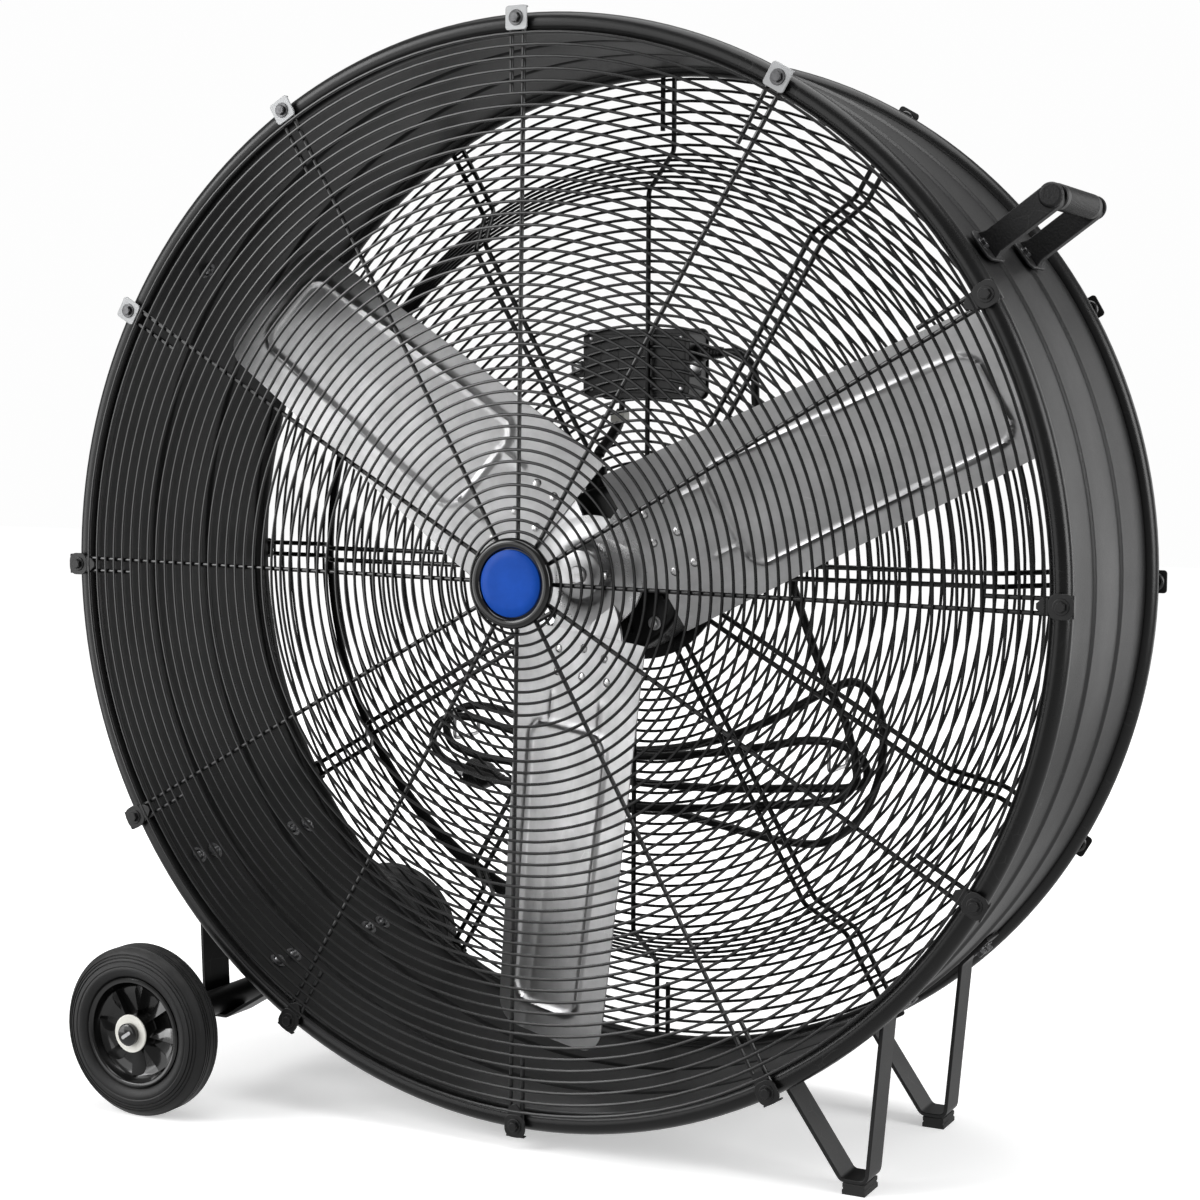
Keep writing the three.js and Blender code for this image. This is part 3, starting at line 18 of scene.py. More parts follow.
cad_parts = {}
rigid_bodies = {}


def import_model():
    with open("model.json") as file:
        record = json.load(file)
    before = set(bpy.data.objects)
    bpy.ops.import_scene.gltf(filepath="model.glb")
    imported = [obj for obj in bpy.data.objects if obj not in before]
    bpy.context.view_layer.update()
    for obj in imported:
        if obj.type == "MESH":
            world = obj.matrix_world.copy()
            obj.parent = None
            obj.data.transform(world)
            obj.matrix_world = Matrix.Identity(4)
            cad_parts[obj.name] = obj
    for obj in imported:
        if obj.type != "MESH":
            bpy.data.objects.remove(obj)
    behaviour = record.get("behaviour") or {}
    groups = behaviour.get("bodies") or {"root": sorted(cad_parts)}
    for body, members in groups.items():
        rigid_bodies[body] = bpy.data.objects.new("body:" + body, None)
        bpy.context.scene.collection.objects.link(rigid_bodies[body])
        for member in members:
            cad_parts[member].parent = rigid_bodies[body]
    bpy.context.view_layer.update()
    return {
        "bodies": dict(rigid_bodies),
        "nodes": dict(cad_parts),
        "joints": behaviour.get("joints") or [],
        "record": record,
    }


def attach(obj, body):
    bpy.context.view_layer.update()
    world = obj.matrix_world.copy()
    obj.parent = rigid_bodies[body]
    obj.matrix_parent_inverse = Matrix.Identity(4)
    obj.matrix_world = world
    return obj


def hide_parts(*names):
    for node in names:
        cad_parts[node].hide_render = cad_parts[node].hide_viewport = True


LOG = logging.getLogger("drum_fan")

Point = tuple[float, float, float]
Profile = Sequence[tuple[float, float]]
Outline = list[tuple[float, float]]
Face = tuple[int, ...]
Shape = tuple[list[Point], list[Face]]
Colour = tuple[float, float, float, float]
Node = bpy.types.Node
Socket = bpy.types.NodeSocket
Tree = bpy.types.NodeTree
Thing = bpy.types.Object

MM = 0.001
AXIS_HEIGHT = 0.585
SPOKE_COUNT = 12
SPOKE_STEP = 360.0 / SPOKE_COUNT
CLAMP_CIRCLE = 0.560
HAIRPIN_GAP = 0.014
AXLE_X = -0.415
AXLE_Z = 0.092
WHITE_TO_CAMERA = 1.0
FACING_BACK = Matrix.Rotation(math.pi, 4, "Z")
FLOAT = "NodeSocketFloat"
VECTOR = "NodeSocketVector"
WHOLE = "NodeSocketInt"
MATERIAL = "NodeSocketMaterial"
GEOMETRY = "NodeSocketGeometry"


class Body(Enum):
    """The moving bodies that a piece can ride on."""

    STAND = "body"
    ROTOR = "rotor"
    FRONT_WHEEL = "front_wheel"
    REAR_WHEEL = "rear_wheel"
    KNOB = "knob"


class Side(Enum):
    """The two ends of a part that is mirrored front to back, as the sign of Y."""

    FRONT = -1
    REAR = 1

    @property
    def word(self) -> str:
        """The side's name as it stands in the frame's node names.

        Returns:
            The name, in small letters.
        """
        return self.name.lower()


# ---------------------------------------------------------------- shader groups
class NodeSheet:
    """A node tree with short calls to add and join its nodes."""

    def __init__(self, tree: Tree) -> None:
        """Wraps a node tree.

        Args:
            tree: The shader or geometry node tree to add to.
        """
        self.tree = tree

    def add(self, kind: str, **settings: object) -> Node:
        """Adds a node.

        Args:
            kind: The node's Blender type name.
            settings: Node properties to set.

        Returns:
            The new node.
        """
        node = self.tree.nodes.new(kind)
        for name, value in settings.items():
            setattr(node, name, value)
        return node

    def put(self, node: Node, name: str, value: object) -> None:
        """Links a socket to the node's input, or sets that input's value.

        Args:
            node: The node that takes the value.
            name: The input's name or its number in the node.
            value: A socket to link, or a plain value.
        """
        if isinstance(value, Socket):
            self.tree.links.new(value, node.inputs[name])
        else:
            node.inputs[name].default_value = value

    def feed(self, kind: str, inputs: dict, output: object = 0, **settings: object) -> Socket:
        """Adds a node, fills its inputs and picks one of its outputs.

        Args:
            kind: The node's Blender type name.
            inputs: What goes in each input, by its name or number.
            output: The wanted output's name or number.
            settings: Node properties to set.

        Returns:
            The output's socket.
        """
        node = self.add(kind, **settings)
        for name, value in inputs.items():
            self.put(node, name, value)
        return node.outputs[output]

    def math(
        self, operation: str, a: object, b: object = 0.0, c: object = 0.0, clamp: bool = False,
    ) -> Socket:
        """Adds a Math node.

        Args:
            operation: The Math node's operation.
            a: First value or socket.
            b: Second value or socket.
            c: Third value or socket.
            clamp: Whether the result stays between 0 and 1.

        Returns:
            The result's socket.
        """
        return self.feed("ShaderNodeMath", {0: a, 1: b, 2: c}, operation=operation, use_clamp=clamp)

    def ramp(self, value: Socket, low: float, high: float) -> Socket:
        """Spreads a range of a value over 0 to 1.

        Args:
            value: The socket to spread.
            low: What becomes 0.
            high: What becomes 1.

        Returns:
            The result's socket.
        """
        spread = {"Value": value, "From Min": low, "From Max": high}
        return self.feed("ShaderNodeMapRange", spread, "Result", clamp=True)

    def mix(self, factor: object, a: object, b: object) -> Socket:
        """Mixes two colours.

        Args:
            factor: Share of the second colour.
            a: First colour or socket.
            b: Second colour or socket.

        Returns:
            The mixed colour's socket.
        """
        return self.feed("ShaderNodeMix", {0: factor, 6: a, 7: b}, 2, data_type="RGBA")

    def noise(self, vector: object, scale: object, detail: float = 3.0, roughness: float = 0.5) -> Socket:
        """Adds a Noise Texture.

        Args:
            vector: Where the pattern is read.
            scale: Features per metre.
            detail: Octaves.
            roughness: Share of each finer octave.

        Returns:
            The factor's socket.
        """
        inputs = {"Vector": vector, "Scale": scale, "Detail": detail, "Roughness": roughness}
        return self.feed("ShaderNodeTexNoise", inputs, "Fac")


def node_group(
    name: str, kind: str, inputs: Sequence[tuple[str, str, object]], outputs: Sequence[tuple[str, str]],
) -> tuple[NodeSheet, Node, Node]:
    """Makes an empty node group with its sockets.

    Args:
        name: The group's name.
        kind: The group's Blender type name.
        inputs: Name, socket type and default of each input.
        outputs: Name and socket type of each output.

    Returns:
        The sheet, its input node and its output node.
    """
    tree = bpy.data.node_groups.new(name, kind)
    for label, socket_kind, default in inputs:
        socket = tree.interface.new_socket(name=label, in_out="INPUT", socket_type=socket_kind)
        if default is not None:
            socket.default_value = default
    for label, socket_kind in outputs:
        tree.interface.new_socket(name=label, in_out="OUTPUT", socket_type=socket_kind)
    sheet = NodeSheet(tree)
    return sheet, sheet.add("NodeGroupInput"), sheet.add("NodeGroupOutput")


class ShaderGroups:
    """The surface effects that several finishes share, each built once."""

    def __init__(self) -> None:
        """Builds every group."""
        self.powder = self._powder()
        self.brushed = self._brushed()
        self.dust = self._dust()
        self.scuffs = self._scuffs()

    def _powder(self) -> Tree:
        """The pebbled skin of powder coat: a fine height, a colour drift and a roughness drift.

        Returns:
            The shader group.
        """
        sheet, given, result = node_group(
            "powder_coat_skin", "ShaderNodeTree",
            [("Vector", VECTOR, None), ("Pebble Scale", FLOAT, 900.0), ("Drift Scale", FLOAT, 7.0)],
            [("Height", FLOAT), ("Drift", FLOAT), ("Fine", FLOAT)],
        )
        where, scale = given.outputs["Vector"], given.outputs["Pebble Scale"]
        inputs = {"Vector": where, "Scale": scale}
        pebbles = sheet.feed("ShaderNodeTexVoronoi", inputs, "Distance", feature="SMOOTH_F1")
        grain = sheet.noise(where, scale, 2.0)
        height = sheet.math("MULTIPLY_ADD", grain, 0.6, pebbles)
        drift = sheet.noise(where, given.outputs["Drift Scale"], 5.0, 0.6)
        sheet.put(result, "Height", height)
        sheet.put(result, "Drift", sheet.ramp(drift, 0.3, 0.7))
        sheet.put(result, "Fine", sheet.ramp(grain, 0.3, 0.7))
        return sheet.tree

    def _brushed(self) -> Tree:
        """Rolling lines of sheet metal: streaks along the vector's second axis.

        Returns:
            The shader group.
        """
        sheet, given, result = node_group(
            "rolled_sheet_lines", "ShaderNodeTree",
            [("Vector", VECTOR, None), ("Line Scale", FLOAT, 2200.0), ("Stretch", FLOAT, 0.012)],
            [("Height", FLOAT), ("Streaks", FLOAT), ("Clouds", FLOAT)],
        )
        where = given.outputs["Vector"]
        squeeze = sheet.feed("ShaderNodeCombineXYZ", {"X": 1.0, "Y": given.outputs["Stretch"], "Z": 1.0})
        stretched = sheet.feed("ShaderNodeVectorMath", {0: where, 1: squeeze}, operation="MULTIPLY")
        lines = sheet.noise(stretched, given.outputs["Line Scale"], 2.0)
        bands = sheet.noise(stretched, 90.0, 4.0)
        clouds = sheet.noise(where, 14.0, 6.0, 0.62)
        sheet.put(result, "Height", lines)
        fine = sheet.math("MULTIPLY", lines, 0.4)
        sheet.put(result, "Streaks", sheet.math("MULTIPLY_ADD", sheet.ramp(bands, 0.3, 0.7), 0.6, fine))
        sheet.put(result, "Clouds", sheet.ramp(clouds, 0.32, 0.68))
        return sheet.tree

    def _dust(self) -> Tree:
        """A mask of the dust that settles on faces that look up.

        Returns:
            The shader group.
        """
        sheet, given, result = node_group(
            "settled_dust", "ShaderNodeTree",
            [("Vector", VECTOR, None), ("Amount", FLOAT, 0.3)],
            [("Mask", FLOAT)],
        )
        normal = sheet.add("ShaderNodeNewGeometry").outputs["Normal"]
        upward = sheet.ramp(sheet.feed("ShaderNodeSeparateXYZ", {0: normal}, "Z"), 0.35, 0.95)
        patches = sheet.ramp(sheet.noise(given.outputs["Vector"], 60.0, 6.0, 0.65), 0.35, 0.75)
        mask = sheet.math(
            "MULTIPLY", sheet.math("MULTIPLY", upward, patches), given.outputs["Amount"], clamp=True,
        )
        sheet.put(result, "Mask", mask)
        return sheet.tree

    def _scuffs(self) -> Tree:
        """Thin rubbed marks, as handling leaves on paint and plastic.

        Returns:
            The shader group.
        """
        sheet, given, result = node_group(
            "handling_scuffs", "ShaderNodeTree",
            [("Vector", VECTOR, None), ("Scale", FLOAT, 45.0), ("Amount", FLOAT, 0.3)],
            [("Mask", FLOAT)],
        )
        where = given.outputs["Vector"]
        bend = sheet.math("MULTIPLY", sheet.noise(where, 9.0, 2.0), 0.05)
        bent = sheet.feed("ShaderNodeVectorMath", {0: where, 1: bend}, operation="ADD")
        inputs = {"Vector": bent, "Scale": given.outputs["Scale"]}
        edges = sheet.feed("ShaderNodeTexVoronoi", inputs, "Distance", feature="DISTANCE_TO_EDGE")
        thin = sheet.math("SUBTRACT", 1.0, sheet.ramp(edges, 0.0, 0.012))
        gaps = sheet.ramp(sheet.noise(where, 22.0, 3.0), 0.56, 0.66)
        marks = sheet.math("MULTIPLY", thin, gaps)
        sheet.put(result, "Mask", sheet.math("MULTIPLY", marks, given.outputs["Amount"], clamp=True))
        return sheet.tree


# ---------------------------------------------------------------- finishes
def rgb(red: float, green: float, blue: float) -> Colour:
    """An opaque linear colour.

    Args:
        red: Linear red.
        green: Linear green.
        blue: Linear blue.

    Returns:
        The colour with full alpha.
    """
    return (red, green, blue, 1.0)


def toned(colour: Colour, factor: float, lift: float = 0.0) -> Colour:
    """A darker or lighter tone of a colour.

    Args:
        colour: The colour.
        factor: What each channel is multiplied by.
        lift: What is then added to each channel.

    Returns:
        The tone, with full alpha.
    """
    return rgb(*(min(1.0, factor * channel + lift) for channel in colour[:3]))


@dataclass(frozen=True)
class Finish:
    """What every finish has: its name, its colour and the record's slot it belongs to."""

    name: str
    slot: str
    colour: Colour
    roughness: float
    specular: float = 0.32

    def _open(self) -> tuple[bpy.types.Material, NodeSheet, Node, Node]:
        """Makes the material with its Principled shader.

        Returns:
            The material, its sheet, the shader and the coordinates node.
        """
        material = bpy.data.materials.new(self.name)
        material.use_nodes = True
        material.node_tree.nodes.clear()
        sheet = NodeSheet(material.node_tree)
        shader = sheet.add("ShaderNodeBsdfPrincipled")
        output = sheet.add("ShaderNodeOutputMaterial")
        sheet.put(output, "Surface", shader.outputs[0])
        shader.inputs["Specular IOR Level"].default_value = self.specular
        material.diffuse_color = self.colour
        return material, sheet, shader, sheet.add("ShaderNodeTexCoord")

    @staticmethod
    def _group(sheet: NodeSheet, tree: Tree, **inputs: object) -> Node:
        """Places a shared group.

        Args:
            sheet: The material's sheet.
            tree: The group.
            inputs: The group's inputs, with spaces as underscores.

        Returns:
            The group's node.
        """
        node = sheet.add("ShaderNodeGroup")
        node.node_tree = tree
        for name, value in inputs.items():
            sheet.put(node, name.replace("_", " "), value)
        return node

    @staticmethod
    def _bump(sheet: NodeSheet, shader: Node, height: Socket, strength: float, distance: float) -> None:
        """Feeds a height to the shader's normal.

        Args:
            sheet: The material's sheet.
            shader: The Principled shader.
            height: The height's socket.
            strength: The bump's strength.
            distance: The height of a full step, in metres.
        """
        bump = sheet.add("ShaderNodeBump")
        sheet.put(bump, "Strength", strength)
        sheet.put(bump, "Distance", distance)
        sheet.put(bump, "Height", height)
        sheet.put(shader, "Normal", bump.outputs[0])


@dataclass(frozen=True)
class PowderCoat(Finish):
    """Textured powder coat on steel, with a little dust and a few rubbed marks."""

    metallic: float = 0.0
    pebble_scale: float = 850.0
    pebble_depth: float = 0.00012
    bump: float = 0.35
    dust: float = 0.25
    wear: float = 0.25
    worn_colour: Colour = (0.16, 0.16, 0.16, 1.0)

    def material(self, groups: ShaderGroups) -> bpy.types.Material:
        """Builds the material.

        Args:
            groups: The shared shader groups.

        Returns:
            The finished material.
        """
        material, sheet, shader, place = self._open()
        where = place.outputs["Object"]
        skin = self._group(sheet, groups.powder, Vector=where, Pebble_Scale=self.pebble_scale)
        dust = self._group(sheet, groups.dust, Vector=where, Amount=self.dust)
        marks = self._group(sheet, groups.scuffs, Vector=where, Amount=self.wear)
        base = sheet.mix(skin.outputs["Drift"], toned(self.colour, 0.78), toned(self.colour, 1.22))
        base = sheet.mix(marks.outputs["Mask"], base, self.worn_colour)
        base = sheet.mix(dust.outputs["Mask"], base, rgb(0.20, 0.195, 0.185))
        sheet.put(shader, "Base Color", base)
        rough = sheet.math("MULTIPLY_ADD", skin.outputs["Drift"], 0.10, self.roughness - 0.05)
        rough = sheet.math("MULTIPLY_ADD", skin.outputs["Fine"], 0.06, rough)
        rough = sheet.math("MULTIPLY_ADD", dust.outputs["Mask"], 0.3, rough, clamp=True)
        sheet.put(shader, "Roughness", rough)
        shader.inputs["Metallic"].default_value = self.metallic
        self._bump(sheet, shader, skin.outputs["Height"], self.bump, self.pebble_depth)
        return material


@dataclass(frozen=True)
class RolledAluminium(Finish):
    """Bare rolled sheet: lines along the sheet, cloudy patches and fine scratches."""

    line_scale: float = 1500.0
    stretch: float = 0.012
    bump: float = 0.12
    along_uv: bool = True

    def material(self, groups: ShaderGroups) -> bpy.types.Material:
        """Builds the material.

        Args:
            groups: The shared shader groups.

        Returns:
            The finished material.
        """
        material, sheet, shader, place = self._open()
        where = place.outputs["UV" if self.along_uv else "Object"]
        lines = self._group(
            sheet, groups.brushed, Vector=where, Line_Scale=self.line_scale, Stretch=self.stretch,
        )
        marks = self._group(sheet, groups.scuffs, Vector=where, Scale=30.0, Amount=0.35)
        dust = self._group(sheet, groups.dust, Vector=place.outputs["Object"], Amount=0.2)
        dull = toned(self.colour, 0.62)
        base = sheet.mix(lines.outputs["Clouds"], dull, self.colour)
        streaked = sheet.mix(sheet.math("MULTIPLY", lines.outputs["Streaks"], 0.55), base, dull)
        base = sheet.mix(marks.outputs["Mask"], streaked, rgb(0.85, 0.85, 0.86))
        base = sheet.mix(dust.outputs["Mask"], base, rgb(0.34, 0.33, 0.31))
        sheet.put(shader, "Base Color", base)
        rough = sheet.math("MULTIPLY_ADD", lines.outputs["Clouds"], -0.10, self.roughness + 0.05)
        rough = sheet.math("MULTIPLY_ADD", lines.outputs["Streaks"], 0.10, rough, clamp=True)
        sheet.put(shader, "Roughness", rough)
        shader.inputs["Metallic"].default_value = 1.0
        shader.inputs["Anisotropic"].default_value = 0.35
        self._bump(sheet, shader, lines.outputs["Height"], self.bump, 0.00008)
        return material


@dataclass(frozen=True)
class PlatedSteel(Finish):
    """Zinc plated or turned steel with small stains."""

    stain: Colour = (0.30, 0.29, 0.27, 1.0)

    def material(self, groups: ShaderGroups) -> bpy.types.Material:
        """Builds the material.

        Args:
            groups: The shared shader groups.

        Returns:
            The finished material.
        """
        material, sheet, shader, place = self._open()
        where = place.outputs["Object"]
        stains = sheet.ramp(sheet.noise(where, 160.0, 6.0, 0.65), 0.42, 0.72)
        marks = self._group(sheet, groups.scuffs, Vector=where, Scale=140.0, Amount=0.4)
        base = sheet.mix(sheet.math("MULTIPLY", stains, 0.6), self.colour, self.stain)
        sheet.put(shader, "Base Color", sheet.mix(marks.outputs["Mask"], base, rgb(0.8, 0.8, 0.8)))
        sheet.put(shader, "Roughness", sheet.math("MULTIPLY_ADD", stains, 0.22, self.roughness, clamp=True))
        shader.inputs["Metallic"].default_value = 1.0
        self._bump(sheet, shader, sheet.noise(where, 1800.0, 2.0), 0.08, 0.00005)
        return material


@dataclass(frozen=True)
class Moulded(Finish):
    """Moulded plastic or rubber: fine grain, a drift in gloss, dust and rubbed marks."""

    grain_scale: float = 1400.0
    grain_depth: float = 0.00006
    bump: float = 0.25
    dust: float = 0.3
    wear: float = 0.3
    coat: float = 0.0

    def material(self, groups: ShaderGroups) -> bpy.types.Material:
        """Builds the material.

        Args:
            groups: The shared shader groups.

        Returns:
            The finished material.
        """
        material, sheet, shader, place = self._open()
        where = place.outputs["Object"]
        drift = sheet.ramp(sheet.noise(where, 26.0, 5.0, 0.6), 0.3, 0.7)
        grain = sheet.noise(where, self.grain_scale, 3.0)
        dust = self._group(sheet, groups.dust, Vector=where, Amount=self.dust)
        marks = self._group(sheet, groups.scuffs, Vector=where, Scale=90.0, Amount=self.wear)
        base = sheet.mix(drift, toned(self.colour, 0.8), toned(self.colour, 1.15, 0.004))
        base = sheet.mix(marks.outputs["Mask"], base, toned(self.colour, 1.3, 0.05))
        base = sheet.mix(dust.outputs["Mask"], base, rgb(0.22, 0.215, 0.205))
        sheet.put(shader, "Base Color", base)
        rough = sheet.math("MULTIPLY_ADD", drift, 0.10, self.roughness - 0.05)
        sheet.put(
            shader, "Roughness", sheet.math("MULTIPLY_ADD", dust.outputs["Mask"], 0.25, rough, clamp=True),
        )
        shader.inputs["Coat Weight"].default_value = self.coat
        shader.inputs["Coat Roughness"].default_value = 0.08
        self._bump(sheet, shader, grain, self.bump, self.grain_depth)
        return material


FINISHES: dict[str, Finish] = {
    "drum": PowderCoat(
        "drum_powder_coat", "blackSheet", rgb(0.0085, 0.0085, 0.0087), 0.38, bump=0.5, pebble_depth=0.00022,
        dust=0.04,
    ),
    "bead": PowderCoat(
        "drum_bead_coat", "blackSheet", rgb(0.004, 0.004, 0.0041), 0.27, bump=0.2, dust=0.02, wear=0.15,
    ),
    "wall_bolt": PlatedSteel(
        "wall_bolt_steel", "steel", rgb(0.26, 0.26, 0.265), 0.24, stain=(0.06, 0.06, 0.06, 1.0),
    ),
    "strap": PowderCoat(
        "strap_powder_coat", "blackSheet", rgb(0.008, 0.008, 0.0083), 0.38, bump=0.3, dust=0.05,
    ),
    "handle": PowderCoat(
        "handle_crinkle_coat", "blackSheet", rgb(0.008, 0.008, 0.0085), 0.46, pebble_scale=420.0,
        pebble_depth=0.0004, bump=0.7, dust=0.06,
    ),
    "wire": PowderCoat(
        "wire_powder_coat", "blackWire", rgb(0.004, 0.004, 0.0042), 0.26, specular=0.5, pebble_scale=1300.0,
        bump=0.15, dust=0.02, wear=0.1,
    ),
    "clamp_black": PowderCoat(
        "clamp_black_coat", "blackWire", rgb(0.008, 0.008, 0.0082), 0.34, bump=0.2, dust=0.05,
    ),
    "clamp_grey": PowderCoat(
        "clamp_grey_coat", "greyPlate", rgb(0.33, 0.335, 0.34), 0.4, metallic=0.3, bump=0.2, dust=0.1,
    ),
    "aluminium": RolledAluminium("rolled_aluminium", "aluminium", rgb(0.66, 0.66, 0.665), 0.30),
    "pressed": RolledAluminium(
        "pressed_aluminium", "aluminium", rgb(0.66, 0.66, 0.665), 0.26, along_uv=False, stretch=1.0,
        line_scale=700.0,
    ),
    "rivet": PlatedSteel("rivet_aluminium", "aluminium", rgb(0.78, 0.78, 0.785), 0.22),
    "zinc": PlatedSteel("zinc_plate", "steel", rgb(0.62, 0.62, 0.63), 0.28),
    "black_bolt": PlatedSteel(
        "blackened_bolt", "blackWire", rgb(0.10, 0.10, 0.103), 0.28, stain=(0.03, 0.03, 0.03, 1.0),
    ),
    "enamel": PowderCoat(
        "motor_enamel", "motorBlack", rgb(0.006, 0.006, 0.0062), 0.32, pebble_scale=600.0, bump=0.2, dust=0.1,
    ),
    "plastic": Moulded("box_plastic", "plastic", rgb(0.008, 0.008, 0.008), 0.36, dust=0.12),
    "gloss_ring": Moulded(
        "badge_ring_plastic", "plastic", rgb(0.004, 0.004, 0.004), 0.16, bump=0.05, dust=0.02, wear=0.1,
        coat=0.4,
    ),
    "blue": Moulded(
        "badge_blue", "badgeBlue", rgb(0.002, 0.060, 0.37), 0.4, specular=0.12, bump=0.05, dust=0.0,
        wear=0.05,
    ),
    "tyre": Moulded(
        "tyre_rubber", "rubber", rgb(0.0075, 0.0075, 0.0078), 0.52, grain_scale=600.0, grain_depth=0.00025,
        bump=0.5, dust=0.16,
    ),
    "grip": Moulded(
        "grip_rubber", "rubber", rgb(0.010, 0.010, 0.0102), 0.40, grain_scale=900.0, bump=0.35, dust=0.1,
    ),
    "pad": Moulded("foot_rubber", "rubber", rgb(0.014, 0.014, 0.014), 0.7, bump=0.4),
    "rim": Moulded(
        "wheel_plastic", "rimPlastic", rgb(0.0035, 0.0035, 0.0035), 0.18, bump=0.06, dust=0.06, wear=0.2,
        coat=0.5,
    ),
    "nylon": Moulded("nylon", "whiteNylon", rgb(0.72, 0.71, 0.66), 0.38, bump=0.1, dust=0.2, wear=0.2),
    "cord": Moulded(
        "cord_jacket", "cordRubber", rgb(0.007, 0.007, 0.007), 0.38, grain_scale=700.0, bump=0.3, dust=0.08,
    ),
}


class Paintbox:
    """Makes each finish's material once and hands it out."""

    def __init__(self) -> None:
        """Builds the shared groups; materials follow when they are first asked for."""
        self.groups = ShaderGroups()
        self._made: dict[str, bpy.types.Material] = {}

    def material(self, key: str) -> bpy.types.Material:
        """The material of a finish.

        Args:
            key: The finish's key in FINISHES.

        Returns:
            Its material.
        """
        if key not in self._made:
            self._made[key] = FINISHES[key].material(self.groups)
        return self._made[key]


# ---------------------------------------------------------------- shapes
def around(radius: float, degrees: float, y: float = 0.0) -> Vector:
    """A point round the fan's axis, measured from that axis.

    Args:
        radius: Distance from the axis.
        degrees: Angle clockwise from the top.
        y: Place along the axis.

    Returns:
        The point, with Z counted from the axis.
    """
    angle = math.radians(degrees)
    return Vector((radius * math.sin(angle), y, radius * math.cos(angle)))


def evenly(first: float, last: float, count: int) -> list[float]:
    """Even steps, both ends included.

    Args:
        first: The first value.
        last: The last value.
        count: How many values.

    Returns:
        The values.
    """
    if count < 2:
        return [first]
    return [first + (last - first) * i / (count - 1) for i in range(count)]


def arc(centre: tuple[float, float], radius: float, start: float, end: float, steps: int) -> Outline:
    """Points on an arc in a profile.

    Args:
        centre: The arc's centre.
        radius: Its radius.
        start: First angle in degrees.
        end: Last angle in degrees.
        steps: How many points.

    Returns:
        The points.
    """
    return [
        (centre[0] + radius * math.cos(math.radians(a)), centre[1] + radius * math.sin(math.radians(a)))
        for a in evenly(start, end, steps)
    ]


def lathe(profile: Profile, steps: int = 96) -> Shape:
    """Turns a profile of (radius, y) pairs about the Y axis.

    Args:
        profile: A profile that is closed, or that starts and ends on the axis.
        steps: Steps round the axis.

    Returns:
        The shape.
    """
    rings: list[list[int]] = []
    points: list[Point] = []
    closed = profile[0] == profile[-1]
    rows = list(profile[:-1] if closed else profile)
    for radius, y in rows:
        if radius < 1e-7:
            rings.append([len(points)] * steps)
            points.append((0.0, y, 0.0))
            continue
        rings.append([len(points) + i for i in range(steps)])
        for i in range(steps):
            angle = 2 * math.pi * i / steps
            points.append((radius * math.sin(angle), y, radius * math.cos(angle)))
    faces: list[Face] = []
    count = len(rows)
    for r in range(count if closed else count - 1):
        here, there = rings[r], rings[(r + 1) % count]
        for i in range(steps):
            j = (i + 1) % steps
            corners = [here[i], here[j], there[j], there[i]]
            unique = tuple(dict.fromkeys(corners))
            if len(unique) > 2:
                faces.append(unique)
    return points, faces


def tube(path: Sequence[Vector], radius: float | Sequence[float], sides: int = 8) -> Shape:
    """A round bar along a path, closed at both ends.

    Args:
        path: The points it follows.
        radius: Its radius, or one for each point.
        sides: Sides of its section.

    Returns:
        The shape.
    """
    radii = [radius] * len(path) if isinstance(radius, (int, float)) else list(radius)
    points: list[Point] = []
    faces: list[Face] = []
    side: Optional[Vector] = None
    for index, here in enumerate(path):
        tangent = (path[min(index + 1, len(path) - 1)] - path[max(index - 1, 0)]).normalized()
        if side is None:
            side = Vector((1, 0, 0)) if abs(tangent.y) > 0.9 else Vector((0, 1, 0))
        side = (side - tangent * side.dot(tangent)).normalized()
        up = tangent.cross(side)
        for i in range(sides):
            turn = 2 * math.pi * i / sides
            place = here + side * (radii[index] * math.cos(turn)) + up * (radii[index] * math.sin(turn))
            points.append(tuple(place))
    for ring in range(len(path) - 1):
        for i in range(sides):
            a, b = ring * sides + i, ring * sides + (i + 1) % sides
            faces.append((a, b, b + sides, a + sides))
    last = (len(path) - 1) * sides
    faces.append(tuple(reversed(range(sides))))
    faces.append(tuple(range(last, last + sides)))
    return points, faces


def prism(outline: Sequence[tuple[float, float]], y_from: float, y_to: float) -> Shape:
    """An outline of (x, z) pairs pushed along Y.

    Args:
        outline: The outline's corners in order.
        y_from: Where it starts.
        y_to: Where it ends.

    Returns:
        The shape.
    """
    count = len(outline)
    points = [(x, y_from, z) for x, z in outline] + [(x, y_to, z) for x, z in outline]
    faces: list[Face] = [tuple(range(count)), tuple(reversed(range(count, 2 * count)))]
    for i in range(count):
        j = (i + 1) % count
        faces.append((i, j, j + count, i + count))
    return points, faces


def closed_sheet(points: list[Point], rows: int, columns: int) -> Shape:
    """A thin body between two grids of points, closed along its edges.

    Args:
        points: The first grid row by row, and then the second.
        rows: Rows in each grid.
        columns: Points in each row.

    Returns:
        The shape.
    """
    sheet, last = rows * columns, (rows - 1) * columns
    faces: list[Face] = []
    for row in range(rows - 1):
        for column in range(columns - 1):
            a = row * columns + column
            faces.append((a, a + 1, a + 1 + columns, a + columns))
            faces.append((sheet + a, sheet + a + columns, sheet + a + 1 + columns, sheet + a + 1))
        a, b = row * columns, row * columns + columns - 1
        faces.append((a, a + columns, sheet + a + columns, sheet + a))
        faces.append((b, sheet + b, sheet + b + columns, b + columns))
    for column in range(columns - 1):
        far = last + column
        faces.append((column, sheet + column, sheet + column + 1, column + 1))
        faces.append((far, far + 1, sheet + far + 1, sheet + far))
    return points, faces


